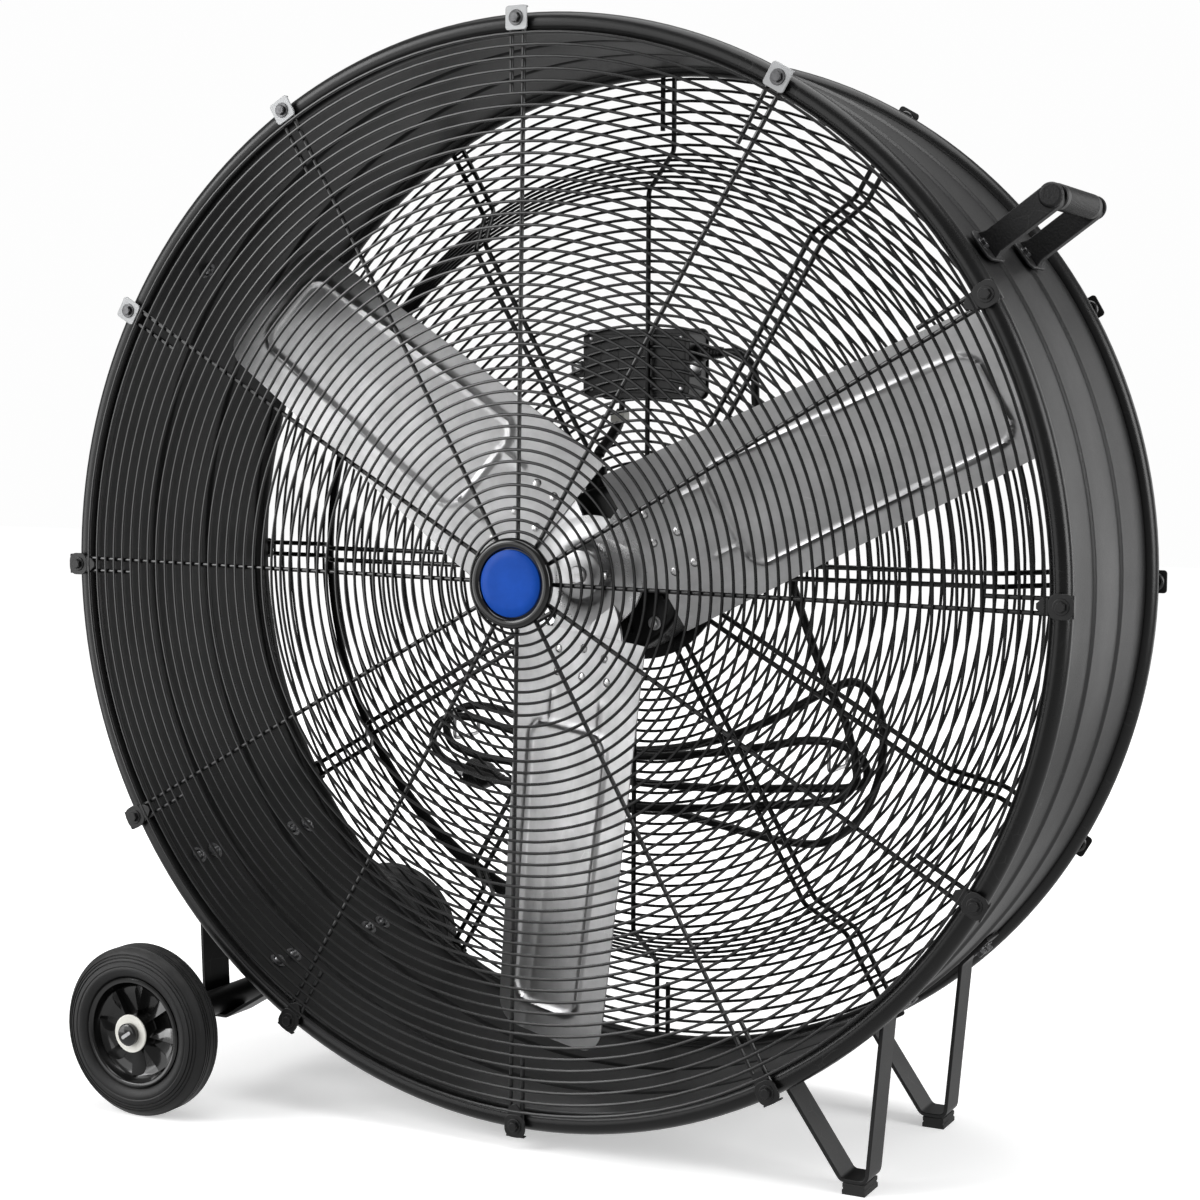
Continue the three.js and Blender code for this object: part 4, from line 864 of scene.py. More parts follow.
def rounded_outline(width: float, height: float, corner: float, steps: int = 6) -> Outline:
    """A rounded rectangle round the origin.

    Args:
        width: Its width.
        height: Its height.
        corner: Its corner radius.
        steps: Points in each corner.

    Returns:
        The outline's points.
    """
    w, h = width / 2 - corner, height / 2 - corner
    outline: Outline = []
    for centre, start in (((w, h), 0), ((-w, h), 90), ((-w, -h), 180), ((w, -h), 270)):
        outline += arc(centre, corner, start, start + 90, steps)
    return outline


def hexagon(radius: float) -> Outline:
    """A hexagon's corners.

    Args:
        radius: Its corner radius.

    Returns:
        The outline's points.
    """
    return arc((0.0, 0.0), radius, 0, 300, 6)


def moved(shape: Shape, matrix: Matrix) -> Shape:
    """A shape moved by a matrix.

    Args:
        shape: The shape.
        matrix: Where it goes.

    Returns:
        The moved shape.
    """
    points, faces = shape
    return [tuple(matrix @ Vector(p)) for p in points], faces


def shifted(shape: Shape, x: float = 0.0, y: float = 0.0, z: float = 0.0) -> Shape:
    """A shape shifted along the axes.

    Args:
        shape: The shape.
        x: Shift along X.
        y: Shift along Y.
        z: Shift along Z.

    Returns:
        The shifted shape.
    """
    return moved(shape, Matrix.Translation((x, y, z)))


def turned_about_axis(degrees: float) -> Matrix:
    """The matrix that turns a shape clockwise about the Y axis.

    Args:
        degrees: The angle.

    Returns:
        The matrix.
    """
    return Matrix.Rotation(math.radians(degrees), 4, "Y")


def seated(normal: Vector, at: Vector) -> Matrix:
    """The matrix that puts a shape built along -Y so that it points along a normal.

    Args:
        normal: The direction that the shape's -Y takes.
        at: Where the shape's origin goes.

    Returns:
        The matrix.
    """
    turn = Vector((0, -1, 0)).rotation_difference(normal.normalized())
    return Matrix.Translation(at) @ turn.to_matrix().to_4x4()


def round_head(radius: float, height: float, steps: int = 16) -> Shape:
    """A dome head that stands towards -Y from y = 0.

    Args:
        radius: Its radius.
        height: Its height.
        steps: Steps round it.

    Returns:
        The shape.
    """
    dome = [
        (radius * math.cos(math.radians(a)), -height * math.sin(math.radians(a)))
        for a in (0, 20, 40, 60, 78)
    ]
    return lathe([(0.0, 0.0006), (radius, 0.0006), *dome, (0.0, -height)], steps)


def disc(radius: float, y_from: float, y_to: float, steps: int) -> Shape:
    """A plain round disc or rod on the Y axis.

    Args:
        radius: Its radius.
        y_from: Where it starts.
        y_to: Where it ends.
        steps: Steps round it.

    Returns:
        The shape.
    """
    return lathe([(0.0, y_from), (radius, y_from), (radius, y_to), (0.0, y_to)], steps)


@dataclass(frozen=True)
class Bolt:
    """The sizes of a hexagon head on a washer."""

    radius: float
    height: float
    washer: float
    washer_height: float = 0.0012
    edge: float = 0.0003

    def shapes(self) -> list[Shape]:
        """The head and its washer, standing towards -Y from y = 0.

        Returns:
            The shapes.
        """
        r, flat, edge = self.radius, self.washer_height, self.edge
        top = -flat - self.height
        crown = [(0.0, top - 0.0004), (r * 0.8, top - 0.0004), (r * 0.86, top + 0.0006), (0.0, top + 0.0006)]
        ring = [
            (0.0, -flat), (self.washer - edge, -flat), (self.washer, -flat + edge), (self.washer, edge),
            (0.0, edge),
        ]
        return [prism(hexagon(r), top, edge), lathe(crown, 18), lathe(ring, 24)]


FRONT_CLAMP_BOLT = Bolt(0.0054, 0.0032, 0.0078)
REAR_CLAMP_BOLT = Bolt(0.0054, 0.0034, 0.0078)
MOUNT_BOLT = Bolt(0.0062, 0.0042, 0.0085)
THROUGH_BOLT = Bolt(0.0058, 0.0042, 0.0076)
HANDLE_BOLT = Bolt(0.0052, 0.0030, 0.0068)
STRAP_BOLT = Bolt(0.0062, 0.0042, 0.0084)


def in_scene(name: str, data: object) -> Thing:
    """Makes an object and links it to the scene.

    Args:
        name: The object's name.
        data: Its mesh, camera or lamp.

    Returns:
        The object.
    """
    obj = bpy.data.objects.new(name, data)
    bpy.context.scene.collection.objects.link(obj)
    return obj


@dataclass
class Piece:
    """A piece that is being built: its shapes, and how it is dressed and placed."""

    name: str
    finish: str
    body: Body = Body.STAND
    replaces: tuple[str, ...] = ()
    bevel: float = 0.0
    bevel_segments: int = 2
    smooth_angle: float = 35.0
    shapes: list[Shape] = field(default_factory=list)

    def add(self, *shapes: Shape) -> "Piece":
        """Adds shapes and returns the piece.

        Args:
            shapes: What the piece gains.

        Returns:
            The piece itself.
        """
        self.shapes.extend(shapes)
        return self

    def mesh(self) -> bpy.types.Mesh:
        """Joins the shapes in one mesh.

        Returns:
            The mesh, with merged points and outward faces.
        """
        points: list[Point] = []
        faces: list[Face] = []
        for shape_points, shape_faces in self.shapes:
            start = len(points)
            points += shape_points
            faces += [tuple(start + i for i in face) for face in shape_faces]
        mesh = bpy.data.meshes.new(self.name)
        mesh.from_pydata(points, [], faces)
        work = bmesh.new()
        work.from_mesh(mesh)
        bmesh.ops.remove_doubles(work, verts=work.verts, dist=1e-6)
        bmesh.ops.recalc_face_normals(work, faces=work.faces)
        work.to_mesh(mesh)
        work.free()
        return mesh


class Workshop:
    """Turns pieces into objects in the scene."""

    def __init__(self, frame: dict, paintbox: Paintbox) -> None:
        """Keeps the frame and the finishes.

        Args:
            paintbox: The finishes.
        """
        self.frame = frame
        self.paintbox = paintbox
        self.trees = GeometryTrees()

    def lift(self, obj: Thing) -> None:
        """Moves a mesh that was built about the fan's axis up to that axis.

        Args:
            obj: The object whose mesh moves.
        """
        obj.data.transform(Matrix.Translation((0, 0, AXIS_HEIGHT)))

    def place(self, piece: Piece, on_axis: bool = True) -> Thing:
        """Makes the piece's object, finishes it and lets it ride on its body.

        Args:
            piece: The piece.
            on_axis: Whether its Z counts from the fan's axis and not from the floor.

        Returns:
            The object.
        """
        obj = in_scene(piece.name, piece.mesh())
        if on_axis:
            self.lift(obj)
        obj.data.materials.append(self.paintbox.material(piece.finish))
        return self.finish(obj, piece)

    def finish(self, obj: Thing, piece: Piece) -> Thing:
        """Smooths and bevels an object and lets it ride on its body.

        Args:
            obj: The object with its mesh in place.
            piece: What it is.

        Returns:
            The object.
        """
        obj.data.shade_smooth()
        obj.data.set_sharp_from_angle(angle=math.radians(piece.smooth_angle))
        if piece.bevel:
            bevel = obj.modifiers.new("rounded_edges", "BEVEL")
            bevel.width = piece.bevel
            bevel.segments = piece.bevel_segments
            bevel.limit_method = "ANGLE"
            bevel.angle_limit = math.radians(40)
            bevel.harden_normals = False
        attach(obj, piece.body.value)
        if piece.replaces:
            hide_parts(*piece.replaces)
        LOG.info("%s: %d faces, %s", obj.name, len(obj.data.polygons), piece.finish)
        return obj

    def array(self, piece: Piece, count: int, first: float, step: float) -> Thing:
        """Repeats the piece round the fan's axis with Geometry Nodes.

        Args:
            piece: One of the repeated pieces, built at angle 0.
            count: How many.
            first: Angle of the first in degrees.
            step: Angle between them in degrees.

        Returns:
            One object with all of them.
        """
        obj = in_scene(piece.name, piece.mesh())
        self.trees.apply(
            obj,
            self.trees.round_array,
            {
                "Count": count,
                "First Angle": math.radians(first),
                "Step Angle": math.radians(step),
                "Axis Height": AXIS_HEIGHT,
                "Material": self.paintbox.material(piece.finish),
            },
        )
        return self.finish(obj, piece)

    def rings(
        self, piece: Piece, places: Sequence[tuple[float, float]], wire: float, steps: int, sides: int,
    ) -> Thing:
        """Bends a wire ring about the fan's axis at each (radius, y) with Geometry Nodes.

        Args:
            piece: The piece that holds the rings.
            places: Radius and y of each ring.
            wire: The wire's radius.
            steps: Steps round each ring.
            sides: Sides of the wire.

        Returns:
            One object with all rings.
        """
        mesh = bpy.data.meshes.new(piece.name)
        mesh.from_pydata([(radius, y, 0.0) for radius, y in places], [], [])
        obj = in_scene(piece.name, mesh)
        self.trees.apply(
            obj,
            self.trees.wire_rings,
            {
                "Wire Radius": wire,
                "Steps": steps,
                "Sides": sides,
                "Axis Height": AXIS_HEIGHT,
                "Material": self.paintbox.material(piece.finish),
            },
        )
        return self.finish(obj, piece)

    def dress(self, names: Sequence[str], finish: str) -> None:
        """Gives nodes of the frame that stay in view their finish.

        Args:
            names: The nodes.
            finish: The finish's key.
        """
        for name in names:
            obj = self.frame["nodes"][name]
            obj.data.materials.clear()
            obj.data.materials.append(self.paintbox.material(finish))
            LOG.info("%s: frame node dressed in %s", name, finish)


class GeometryTrees:
    """The Geometry Nodes trees that repeat what repeats."""

    def __init__(self) -> None:
        """Builds both trees."""
        self.round_array = self._round_array()
        self.wire_rings = self._wire_rings()

    def _round_array(self) -> Tree:
        """Copies of the given mesh, turned about the fan's axis in even steps.

        Returns:
            The geometry tree.
        """
        sheet, given, result = node_group(
            "array_round_axis", "GeometryNodeTree",
            [
                ("Geometry", GEOMETRY, None),
                ("Count", WHOLE, 12),
                ("First Angle", FLOAT, 0.0),
                ("Step Angle", FLOAT, 0.5),
                ("Axis Height", FLOAT, 0.5),
                ("Material", MATERIAL, None),
            ],
            [("Geometry", GEOMETRY)],
        )
        centre = sheet.feed("ShaderNodeCombineXYZ", {"Z": given.outputs["Axis Height"]})
        points = sheet.feed("GeometryNodePoints", {"Count": given.outputs["Count"], "Position": centre})
        index = sheet.add("GeometryNodeInputIndex").outputs[0]
        angle = sheet.math("MULTIPLY_ADD", index, given.outputs["Step Angle"], given.outputs["First Angle"])
        turn = sheet.feed("ShaderNodeCombineXYZ", {"Y": angle})
        inputs = {"Points": points, "Instance": given.outputs["Geometry"], "Rotation": turn}
        copies = sheet.feed("GeometryNodeInstanceOnPoints", inputs)
        self._paint(sheet, given, result, sheet.feed("GeometryNodeRealizeInstances", {"Geometry": copies}))
        return sheet.tree

    def _wire_rings(self) -> Tree:
        """A wire ring about the fan's axis for each point, whose X is its radius and Y its place.

        Returns:
            The geometry tree.
        """
        sheet, given, result = node_group(
            "wire_rings_round_axis", "GeometryNodeTree",
            [
                ("Geometry", GEOMETRY, None),
                ("Wire Radius", FLOAT, 0.0016),
                ("Steps", WHOLE, 96),
                ("Sides", WHOLE, 6),
                ("Axis Height", FLOAT, 0.5),
                ("Material", MATERIAL, None),
            ],
            [("Geometry", GEOMETRY)],
        )
        where = sheet.add("GeometryNodeInputPosition").outputs[0]
        radius = sheet.feed("ShaderNodeSeparateXYZ", {0: where}, "X")
        along = sheet.feed("ShaderNodeSeparateXYZ", {0: where}, "Y")
        centre = sheet.feed("ShaderNodeCombineXYZ", {"Y": along, "Z": given.outputs["Axis Height"]})
        size = sheet.feed("ShaderNodeCombineXYZ", {"X": radius, "Y": radius, "Z": radius})
        inputs = {"Geometry": given.outputs["Geometry"], "Name": "ring_size", "Value": size}
        kinds = {"data_type": "FLOAT_VECTOR", "domain": "POINT"}
        stored = sheet.feed("GeometryNodeStoreNamedAttribute", inputs, "Geometry", **kinds)
        centred = sheet.feed("GeometryNodeSetPosition", {"Geometry": stored, "Position": centre})
        read = sheet.feed("GeometryNodeInputNamedAttribute", {"Name": "ring_size"}, data_type="FLOAT_VECTOR")
        inputs = {"Resolution": given.outputs["Steps"], "Radius": 1.0}
        circle = sheet.feed("GeometryNodeCurvePrimitiveCircle", inputs, mode="RADIUS")
        inputs = {"Points": centred, "Instance": circle, "Rotation": (math.pi / 2, 0.0, 0.0), "Scale": read}
        copies = sheet.feed("GeometryNodeInstanceOnPoints", inputs)
        real = sheet.feed("GeometryNodeRealizeInstances", {"Geometry": copies})
        even = sheet.feed("GeometryNodeSetCurveRadius", {"Curve": real, "Radius": 1.0})
        inputs = {"Resolution": given.outputs["Sides"], "Radius": given.outputs["Wire Radius"]}
        section = sheet.feed("GeometryNodeCurvePrimitiveCircle", inputs, mode="RADIUS")
        swept = sheet.feed("GeometryNodeCurveToMesh", {"Curve": even, "Profile Curve": section})
        self._paint(sheet, given, result, swept)
        return sheet.tree

    @staticmethod
    def _paint(sheet: NodeSheet, given: Node, result: Node, shape: Socket) -> None:
        """Gives a tree's result the material that the tree is given.

        Args:
            sheet: The tree's sheet.
            given: Its input node.
            result: Its output node.
            shape: The geometry to paint.
        """
        inputs = {"Geometry": shape, "Material": given.outputs["Material"]}
        sheet.put(result, "Geometry", sheet.feed("GeometryNodeSetMaterial", inputs))

    @staticmethod
    def apply(obj: Thing, tree: Tree, inputs: dict[str, object]) -> None:
        """Runs a tree on an object and leaves its result as a plain mesh.

        Args:
            obj: The object that holds the source mesh.
            tree: The tree to run.
            inputs: The tree's inputs by name.
        """
        modifier = obj.modifiers.new("pattern", "NODES")
        modifier.node_group = tree
        for item in tree.interface.items_tree:
            if item.item_type == "SOCKET" and item.in_out == "INPUT" and item.name in inputs:
                modifier[item.identifier] = inputs[item.name]
        seen = obj.evaluated_get(bpy.context.evaluated_depsgraph_get())
        result = bpy.data.meshes.new_from_object(seen)
        obj.modifiers.remove(modifier)
        obj.data = result


def fillet(points: Sequence[Vector], radius: float, steps: int = 5) -> list[Vector]:
    """A path with its corners rounded.

    Args:
        points: The corners, ends included.
        radius: The bend radius.
        steps: Points in each bend.

    Returns:
        The rounded path.
    """
    path = [points[0]]
    for before, here, after in zip(points, points[1:], points[2:]):
        into, out = (here - before).normalized(), (after - here).normalized()
        bend = into.angle(out)
        if bend < 0.02:
            path.append(here)
            continue
        reach = min(radius * math.tan(bend / 2), 0.45 * (here - before).length, 0.45 * (after - here).length)
        start, end = here - into * reach, here + out * reach
        for share in evenly(0.0, 1.0, steps):
            path.append(start.lerp(here, share).lerp(here.lerp(end, share), share))
    path.append(points[-1])
    return path


def strap_shape(path: Sequence[Vector], thickness: float, y_from: float, y_to: float) -> Shape:
    """A flat strap that follows a path in the XZ plane.

    Args:
        path: Its centre line, with Y unused.
        thickness: The strap's thickness.
        y_from: One edge.
        y_to: The other edge.

    Returns:
        The shape.
    """
    left: Outline = []
    right: Outline = []
    for index, here in enumerate(path):
        before, after = path[max(index - 1, 0)], path[min(index + 1, len(path) - 1)]
        tangent = (after - before).normalized()
        normal = Vector((-tangent.z, 0.0, tangent.x)) * (thickness / 2)
        left.append((here.x + normal.x, here.z + normal.z))
        right.append((here.x - normal.x, here.z - normal.z))
    points: list[Point] = []
    for side in (left, right):
        for y in (y_from, y_to):
            points += [(x, y, z) for x, z in side]
    count = len(path)
    faces: list[Face] = []
    for i in range(count - 1):
        a, b, c, d = i, i + count, i + 2 * count, i + 3 * count
        faces += [(a, a + 1, b + 1, b), (c, d, d + 1, c + 1), (a, c, c + 1, a + 1), (b, b + 1, d + 1, d)]
    last = count - 1
    faces += [(0, count, 3 * count, 2 * count), (last, last + 2 * count, last + 3 * count, last + count)]
    return points, faces


def smooth_route(points: Sequence[Vector], spacing: float) -> list[Vector]:
    """Points along a centripetal Catmull-Rom curve, evenly spaced.

    Args:
        points: The points that the curve passes.
        spacing: The wanted distance between the results.

    Returns:
        The evenly spaced points, ends included.
    """
    rows = [2 * points[0] - points[1], *points, 2 * points[-1] - points[-2]]
    fine: list[Vector] = [points[0]]
    for p0, p1, p2, p3 in zip(rows, rows[1:], rows[2:], rows[3:]):
        d0, d1, d2 = (max((b - a).length ** 0.5, 1e-6) for a, b in ((p0, p1), (p1, p2), (p2, p3)))
        t1 = ((p1 - p0) / d0 - (p2 - p0) / (d0 + d1) + (p2 - p1) / d1) * d1
        t2 = ((p2 - p1) / d1 - (p3 - p1) / (d1 + d2) + (p3 - p2) / d2) * d1
        for step in range(1, 41):
            s = step / 40
            fine.append(
                p1 + t1 * s + (-3 * p1 + 3 * p2 - 2 * t1 - t2) * s**2 + (2 * p1 - 2 * p2 + t1 + t2) * s**3
            )
    along = [0.0]
    for a, b in zip(fine, fine[1:]):
        along.append(along[-1] + (b - a).length)
    count = max(2, round(along[-1] / spacing) + 1)
    result: list[Vector] = []
    index = 0
    for target in evenly(0.0, along[-1], count):
        while index < len(along) - 2 and along[index + 1] < target:
            index += 1
        share = (target - along[index]) / max(along[index + 1] - along[index], 1e-12)
        result.append(fine[index].lerp(fine[index + 1], share))
    return result


# ---------------------------------------------------------------- camera, floor and light
@dataclass
class Studio:
    """The photograph's camera, a pale floor and soft lamps."""

    target: Vector = field(default_factory=lambda: Vector((0.0928, -0.1637, 0.5713)))
    direction: Vector = field(default_factory=lambda: Vector((0.45381, -0.88719, 0.08350)))
    distance: float = 2.2607
    roll: float = 0.26
    lens: float = 68.36
    sensor: float = 36.0
    far_clip: float = 50.0
    floor_reach: float = 9.0
    floor_tone: float = 0.88
    floor_glow: float = 0.42
    far_glow: float = 0.32
    glow_from: float = 0.6
    glow_to: float = 2.8
    surround: float = 0.30
    surround_below: float = 0.45
    backdrop: float = 0.985

    def camera(self) -> Thing:
        """Sets the camera at the photograph's viewing angle.

        Returns:
            The camera.
        """
        ahead = -self.direction.normalized()
        right = ahead.cross(Vector((0, 0, 1))).normalized()
        up = right.cross(ahead)
        turn = math.radians(self.roll)
        across = right * math.cos(turn) + up * math.sin(turn)
        over = up * math.cos(turn) - right * math.sin(turn)
        data = bpy.data.cameras.new("photo_camera")
        data.lens = self.lens
        data.sensor_width = self.sensor
        data.clip_end = self.far_clip
        camera = in_scene("photo_camera", data)
        axes = Matrix((across, over, -ahead)).transposed().to_4x4()
        camera.matrix_world = Matrix.Translation(self.target - ahead * self.distance) @ axes
        bpy.context.scene.camera = camera
        return camera

    def lamp(self, name: str, at: Point, aim: Point, size: tuple[float, float], power: float) -> None:
        """Adds a soft lamp.

        Args:
            name: The lamp's name.
            at: Where it stands.
            aim: Where it points.
            size: Its width and height.
            power: Its power in watts.
        """
        data = bpy.data.lights.new(name, "AREA")
        data.shape = "RECTANGLE"
        data.size, data.size_y = size
        data.energy = power
        lamp = in_scene(name, data)
        lamp.location = at
        lamp.rotation_euler = (Vector(aim) - Vector(at)).to_track_quat("-Z", "Y").to_euler()

    def floor(self) -> Thing:
        """Lays the pale floor.

        Returns:
            The floor.
        """
        mesh = bpy.data.meshes.new("studio_floor")
        r = self.floor_reach
        mesh.from_pydata([(-r, -r, 0), (r, -r, 0), (r, r, 0), (-r, r, 0)], [], [(0, 1, 2, 3)])
        floor = in_scene("studio_floor", mesh)
        material = bpy.data.materials.new("studio_paper")
        material.use_nodes = True
        shader = material.node_tree.nodes["Principled BSDF"]
        shader.inputs["Base Color"].default_value = rgb(self.floor_tone, self.floor_tone, self.floor_tone)
        shader.inputs["Emission Color"].default_value = rgb(1.0, 1.0, 1.0)
        sheet = NodeSheet(material.node_tree)
        where = sheet.add("ShaderNodeTexCoord").outputs["Object"]
        away = sheet.feed("ShaderNodeVectorMath", {0: where}, "Value", operation="LENGTH")
        glow = sheet.ramp(away, self.glow_from, self.glow_to)
        sheet.put(
            shader, "Emission Strength", sheet.math("MULTIPLY_ADD", glow, self.far_glow, self.floor_glow),
        )
        shader.inputs["Roughness"].default_value = 0.9
        shader.inputs["Specular IOR Level"].default_value = 0.0
        mesh.materials.append(material)
        floor.visible_diffuse = floor.visible_glossy = False
        return floor

    def build(self) -> None:
        """Builds the whole studio."""
        self.camera()
        self.floor()
        world = bpy.data.worlds.new("studio_white")
        bpy.context.scene.world = world
        world.use_nodes = True
        sheet = NodeSheet(world.node_tree)
        background = world.node_tree.nodes["Background"]
        where = sheet.add("ShaderNodeTexCoord").outputs["Generated"]
        height = sheet.feed("ShaderNodeSeparateXYZ", {0: where}, "Z")
        below = sheet.math("SUBTRACT", 1.0, sheet.ramp(height, -0.5, 0.0))
        light = sheet.math("MULTIPLY_ADD", below, self.surround_below, self.surround)
        to_camera = sheet.add("ShaderNodeLightPath").outputs["Is Camera Ray"]
        inputs = {0: to_camera, 2: light, 3: WHITE_TO_CAMERA}
        sheet.put(background, "Color", rgb(self.backdrop, self.backdrop, self.backdrop))
        sheet.put(background, "Strength", sheet.feed("ShaderNodeMix", inputs, data_type="FLOAT"))
        self.lamp("key_left", (-2.6, -2.4, 2.6), (0.0, 0.0, 0.6), (2.0, 2.0), 80.0)
        self.lamp("front_card", (-1.5, -3.0, 1.1), (0.0, 0.0, 0.6), (3.0, 2.6), 38.0)
        self.lamp("left_card", (-2.9, -1.7, 0.6), (0.0, 0.0, 0.5), (1.8, 2.2), 34.0)
        self.lamp("side_right", (3.2, -0.2, 1.4), (0.3, 0.0, 0.6), (1.4, 2.4), 70.0)
        self.lamp("back_card", (1.9, 2.7, 0.9), (0.5, 0.0, 0.6), (1.6, 2.4), 15.0)
        self.lamp("overhead", (0.2, 0.2, 3.6), (0.0, 0.0, 0.0), (3.0, 3.0), 90.0)
        bpy.context.scene.view_settings.view_transform = "Standard"
        LOG.info("studio: camera, floor, world and %d lamps", len(bpy.data.lights))


# ---------------------------------------------------------------- the fan's parts
@dataclass
class PowerCord:
    """The free cord: down behind the guard from the switch box, then gathered in long loose loops."""

    shop: Workshop
    diameter: float = 0.0095
    exit: Point = (0.0846, 0.148624, 0.823)
    depth: float = 0.134011
    run_step: float = 0.0115
    plug_length: float = 0.048
    pin_length: float = 0.018
    plug_radius: float = 0.016

    def behind(self, x: float, depth: float, height: float) -> Vector:
        """A point from millimetres: depth counts from the nearest run, height from the fan's axis.

        Args:
            x: Place to the right of the axis.
            depth: Place behind the nearest run.
            height: Place above the axis.

        Returns:
            The point in metres.
        """
        return Vector((x * MM, self.depth + depth * MM, AXIS_HEIGHT + height * MM))

    def gathered(self, run: int, x: float, height: float) -> Vector:
        """A point on one of the gathered runs.

        Args:
            run: The run, counted from the guard.
            x: Place to the right of the axis, in millimetres.
            height: Place above the axis, in millimetres.

        Returns:
            The point in metres.
        """
        return self.behind(x, run * self.run_step / MM, height)

    def route(self) -> tuple[list[Vector], Vector]:
        """The cord's whole centre line.

        Returns:
            Its points, and the direction in which it ends.
        """
        b, g = self.behind, self.gathered
        drop = [
            Vector(self.exit), b(104, 13, 237), b(122, 12, 221), b(126, 10, 187), b(132, 8, 135), b(
                150, 6, 65,
            ),
            b(172, 4, -5), b(196, 2, -70), b(219, 0.5, -123), b(240, 0, -161), b(248, 0, -187),
        ]
        loops = [
            g(0, 252, -201), g(0, 254, -223), g(0, 238, -244), g(0, 200, -254), g(0, 140, -262), g(
                0, 67, -271,
            ),
            g(0, -8, -276), g(0, -90, -273), g(0, -170, -263), g(0, -232, -251), g(0, -270, -237),
            b(-284, 3, -217), b(-274, 7, -195), g(1, -244, -189), g(1, -190, -199), g(1, -110, -217),
            g(1, -9, -219), g(1, 70, -210), g(1, 139, -198), g(1, 192, -187), g(1, 230, -189), b(
                256, 15, -205,
            ),
            b(258, 19, -227), g(2, 238, -237), g(2, 187, -242), g(2, 91, -250), g(2, -8, -252), g(
                2, -100, -247,
            ),
            g(2, -180, -241), g(2, -240, -235), b(-272, 26, -223), b(-280, 29, -201), b(-258, 32, -181),
            g(3, -215, -180), g(3, -150, -200), g(3, -70, -217), g(3, 5, -213), g(3, 84, -194), g(
                3, 145, -167,
            ),
            g(3, 205, -134), g(3, 238, -122), b(260, 36, -139), b(270, 38, -180), b(263, 40, -233),
            b(240, 42, -277), b(200, 44, -305), g(4, 158, -309), g(4, 67, -296), g(4, 0, -285), g(
                4, -90, -279,
            ),
            g(4, -160, -275), g(4, -212, -267),
        ]
        fall = (loops[1] - loops[0]).normalized()
        along = (loops[-1] - loops[-2]).normalized()
        first = smooth_route([*drop, loops[0] - fall * self.diameter], 0.006)
        second = smooth_route(
            [loops[0] + fall * self.diameter, *loops[1:-1], loops[-1] - along * self.diameter], 0.006
        )
        return [*first, loops[0], *second, loops[-1]], along

    def plug(self, end: Vector, along: Vector) -> tuple[Thing, Thing]:
        """Builds the three-pin plug in line with the cord's end.

        Args:
            end: Where the cord ends.
            along: The cord's direction there.

        Returns:
            The moulded body and the metal pins.
        """
        turn = Vector((0, 1, 0)).rotation_difference(along).to_matrix().to_4x4()
        place = Matrix.Translation(end + along * 0.0003) @ turn
        r, length = self.plug_radius, self.plug_length
        boot = [(0.0, 0.0), (0.0062, 0.0)]
        for i in range(4):
            y = 0.002 + i * 0.003
            ridge, groove = 0.0064 + i * 0.0009, 0.0056 + i * 0.0009
            boot += [(ridge, y), (ridge, y + 0.0014), (groove, y + 0.0018), (groove, y + 0.0026)]
        body = [*boot, (r * 0.75, 0.0145), (r * 0.97, 0.020), (r, 0.023)]
        for i in range(5):
            y = 0.0245 + i * 0.0034
            body += [(r, y), (r - 0.0009, y + 0.0008), (r - 0.0009, y + 0.0016), (r, y + 0.0024)]
        body += [(r, length - 0.003), (r - 0.0006, length - 0.001), (r - 0.002, length), (0.0, length)]
        shell = Piece("cord_plug", "plastic", replaces=("power_plug",), smooth_angle=40)
        shell.add(moved(lathe(body, 40), place))
        pins = Piece("cord_plug_pins", "zinc", bevel=0.0002)
        for x in (-0.006, 0.006):
            blade = prism(rounded_outline(0.0016, 0.007, 0.0006, 3), length - 0.001, length + self.pin_length)
            pins.add(moved(shifted(blade, x, 0.0, 0.002), place))
        earth = [
            (0.0, length - 0.001), (0.0024, length - 0.001), (0.0024, length + 0.018),
            (0.0016, length + 0.0198), (0.0, length + 0.0198),
        ]
        pins.add(moved(shifted(lathe(earth, 16), z=-0.007), place))
        return self.shop.place(shell, on_axis=False), self.shop.place(pins, on_axis=False)

    def build(self) -> None:
        path, along = self.route()
        cable = Piece("mains_cord", "cord", replaces=("power_cord", "cord_hank"))
        cable.add(tube(path, self.diameter / 2, 14))
        obj = self.shop.place(cable, on_axis=False)
        plug, pins = self.plug(path[-1], along)


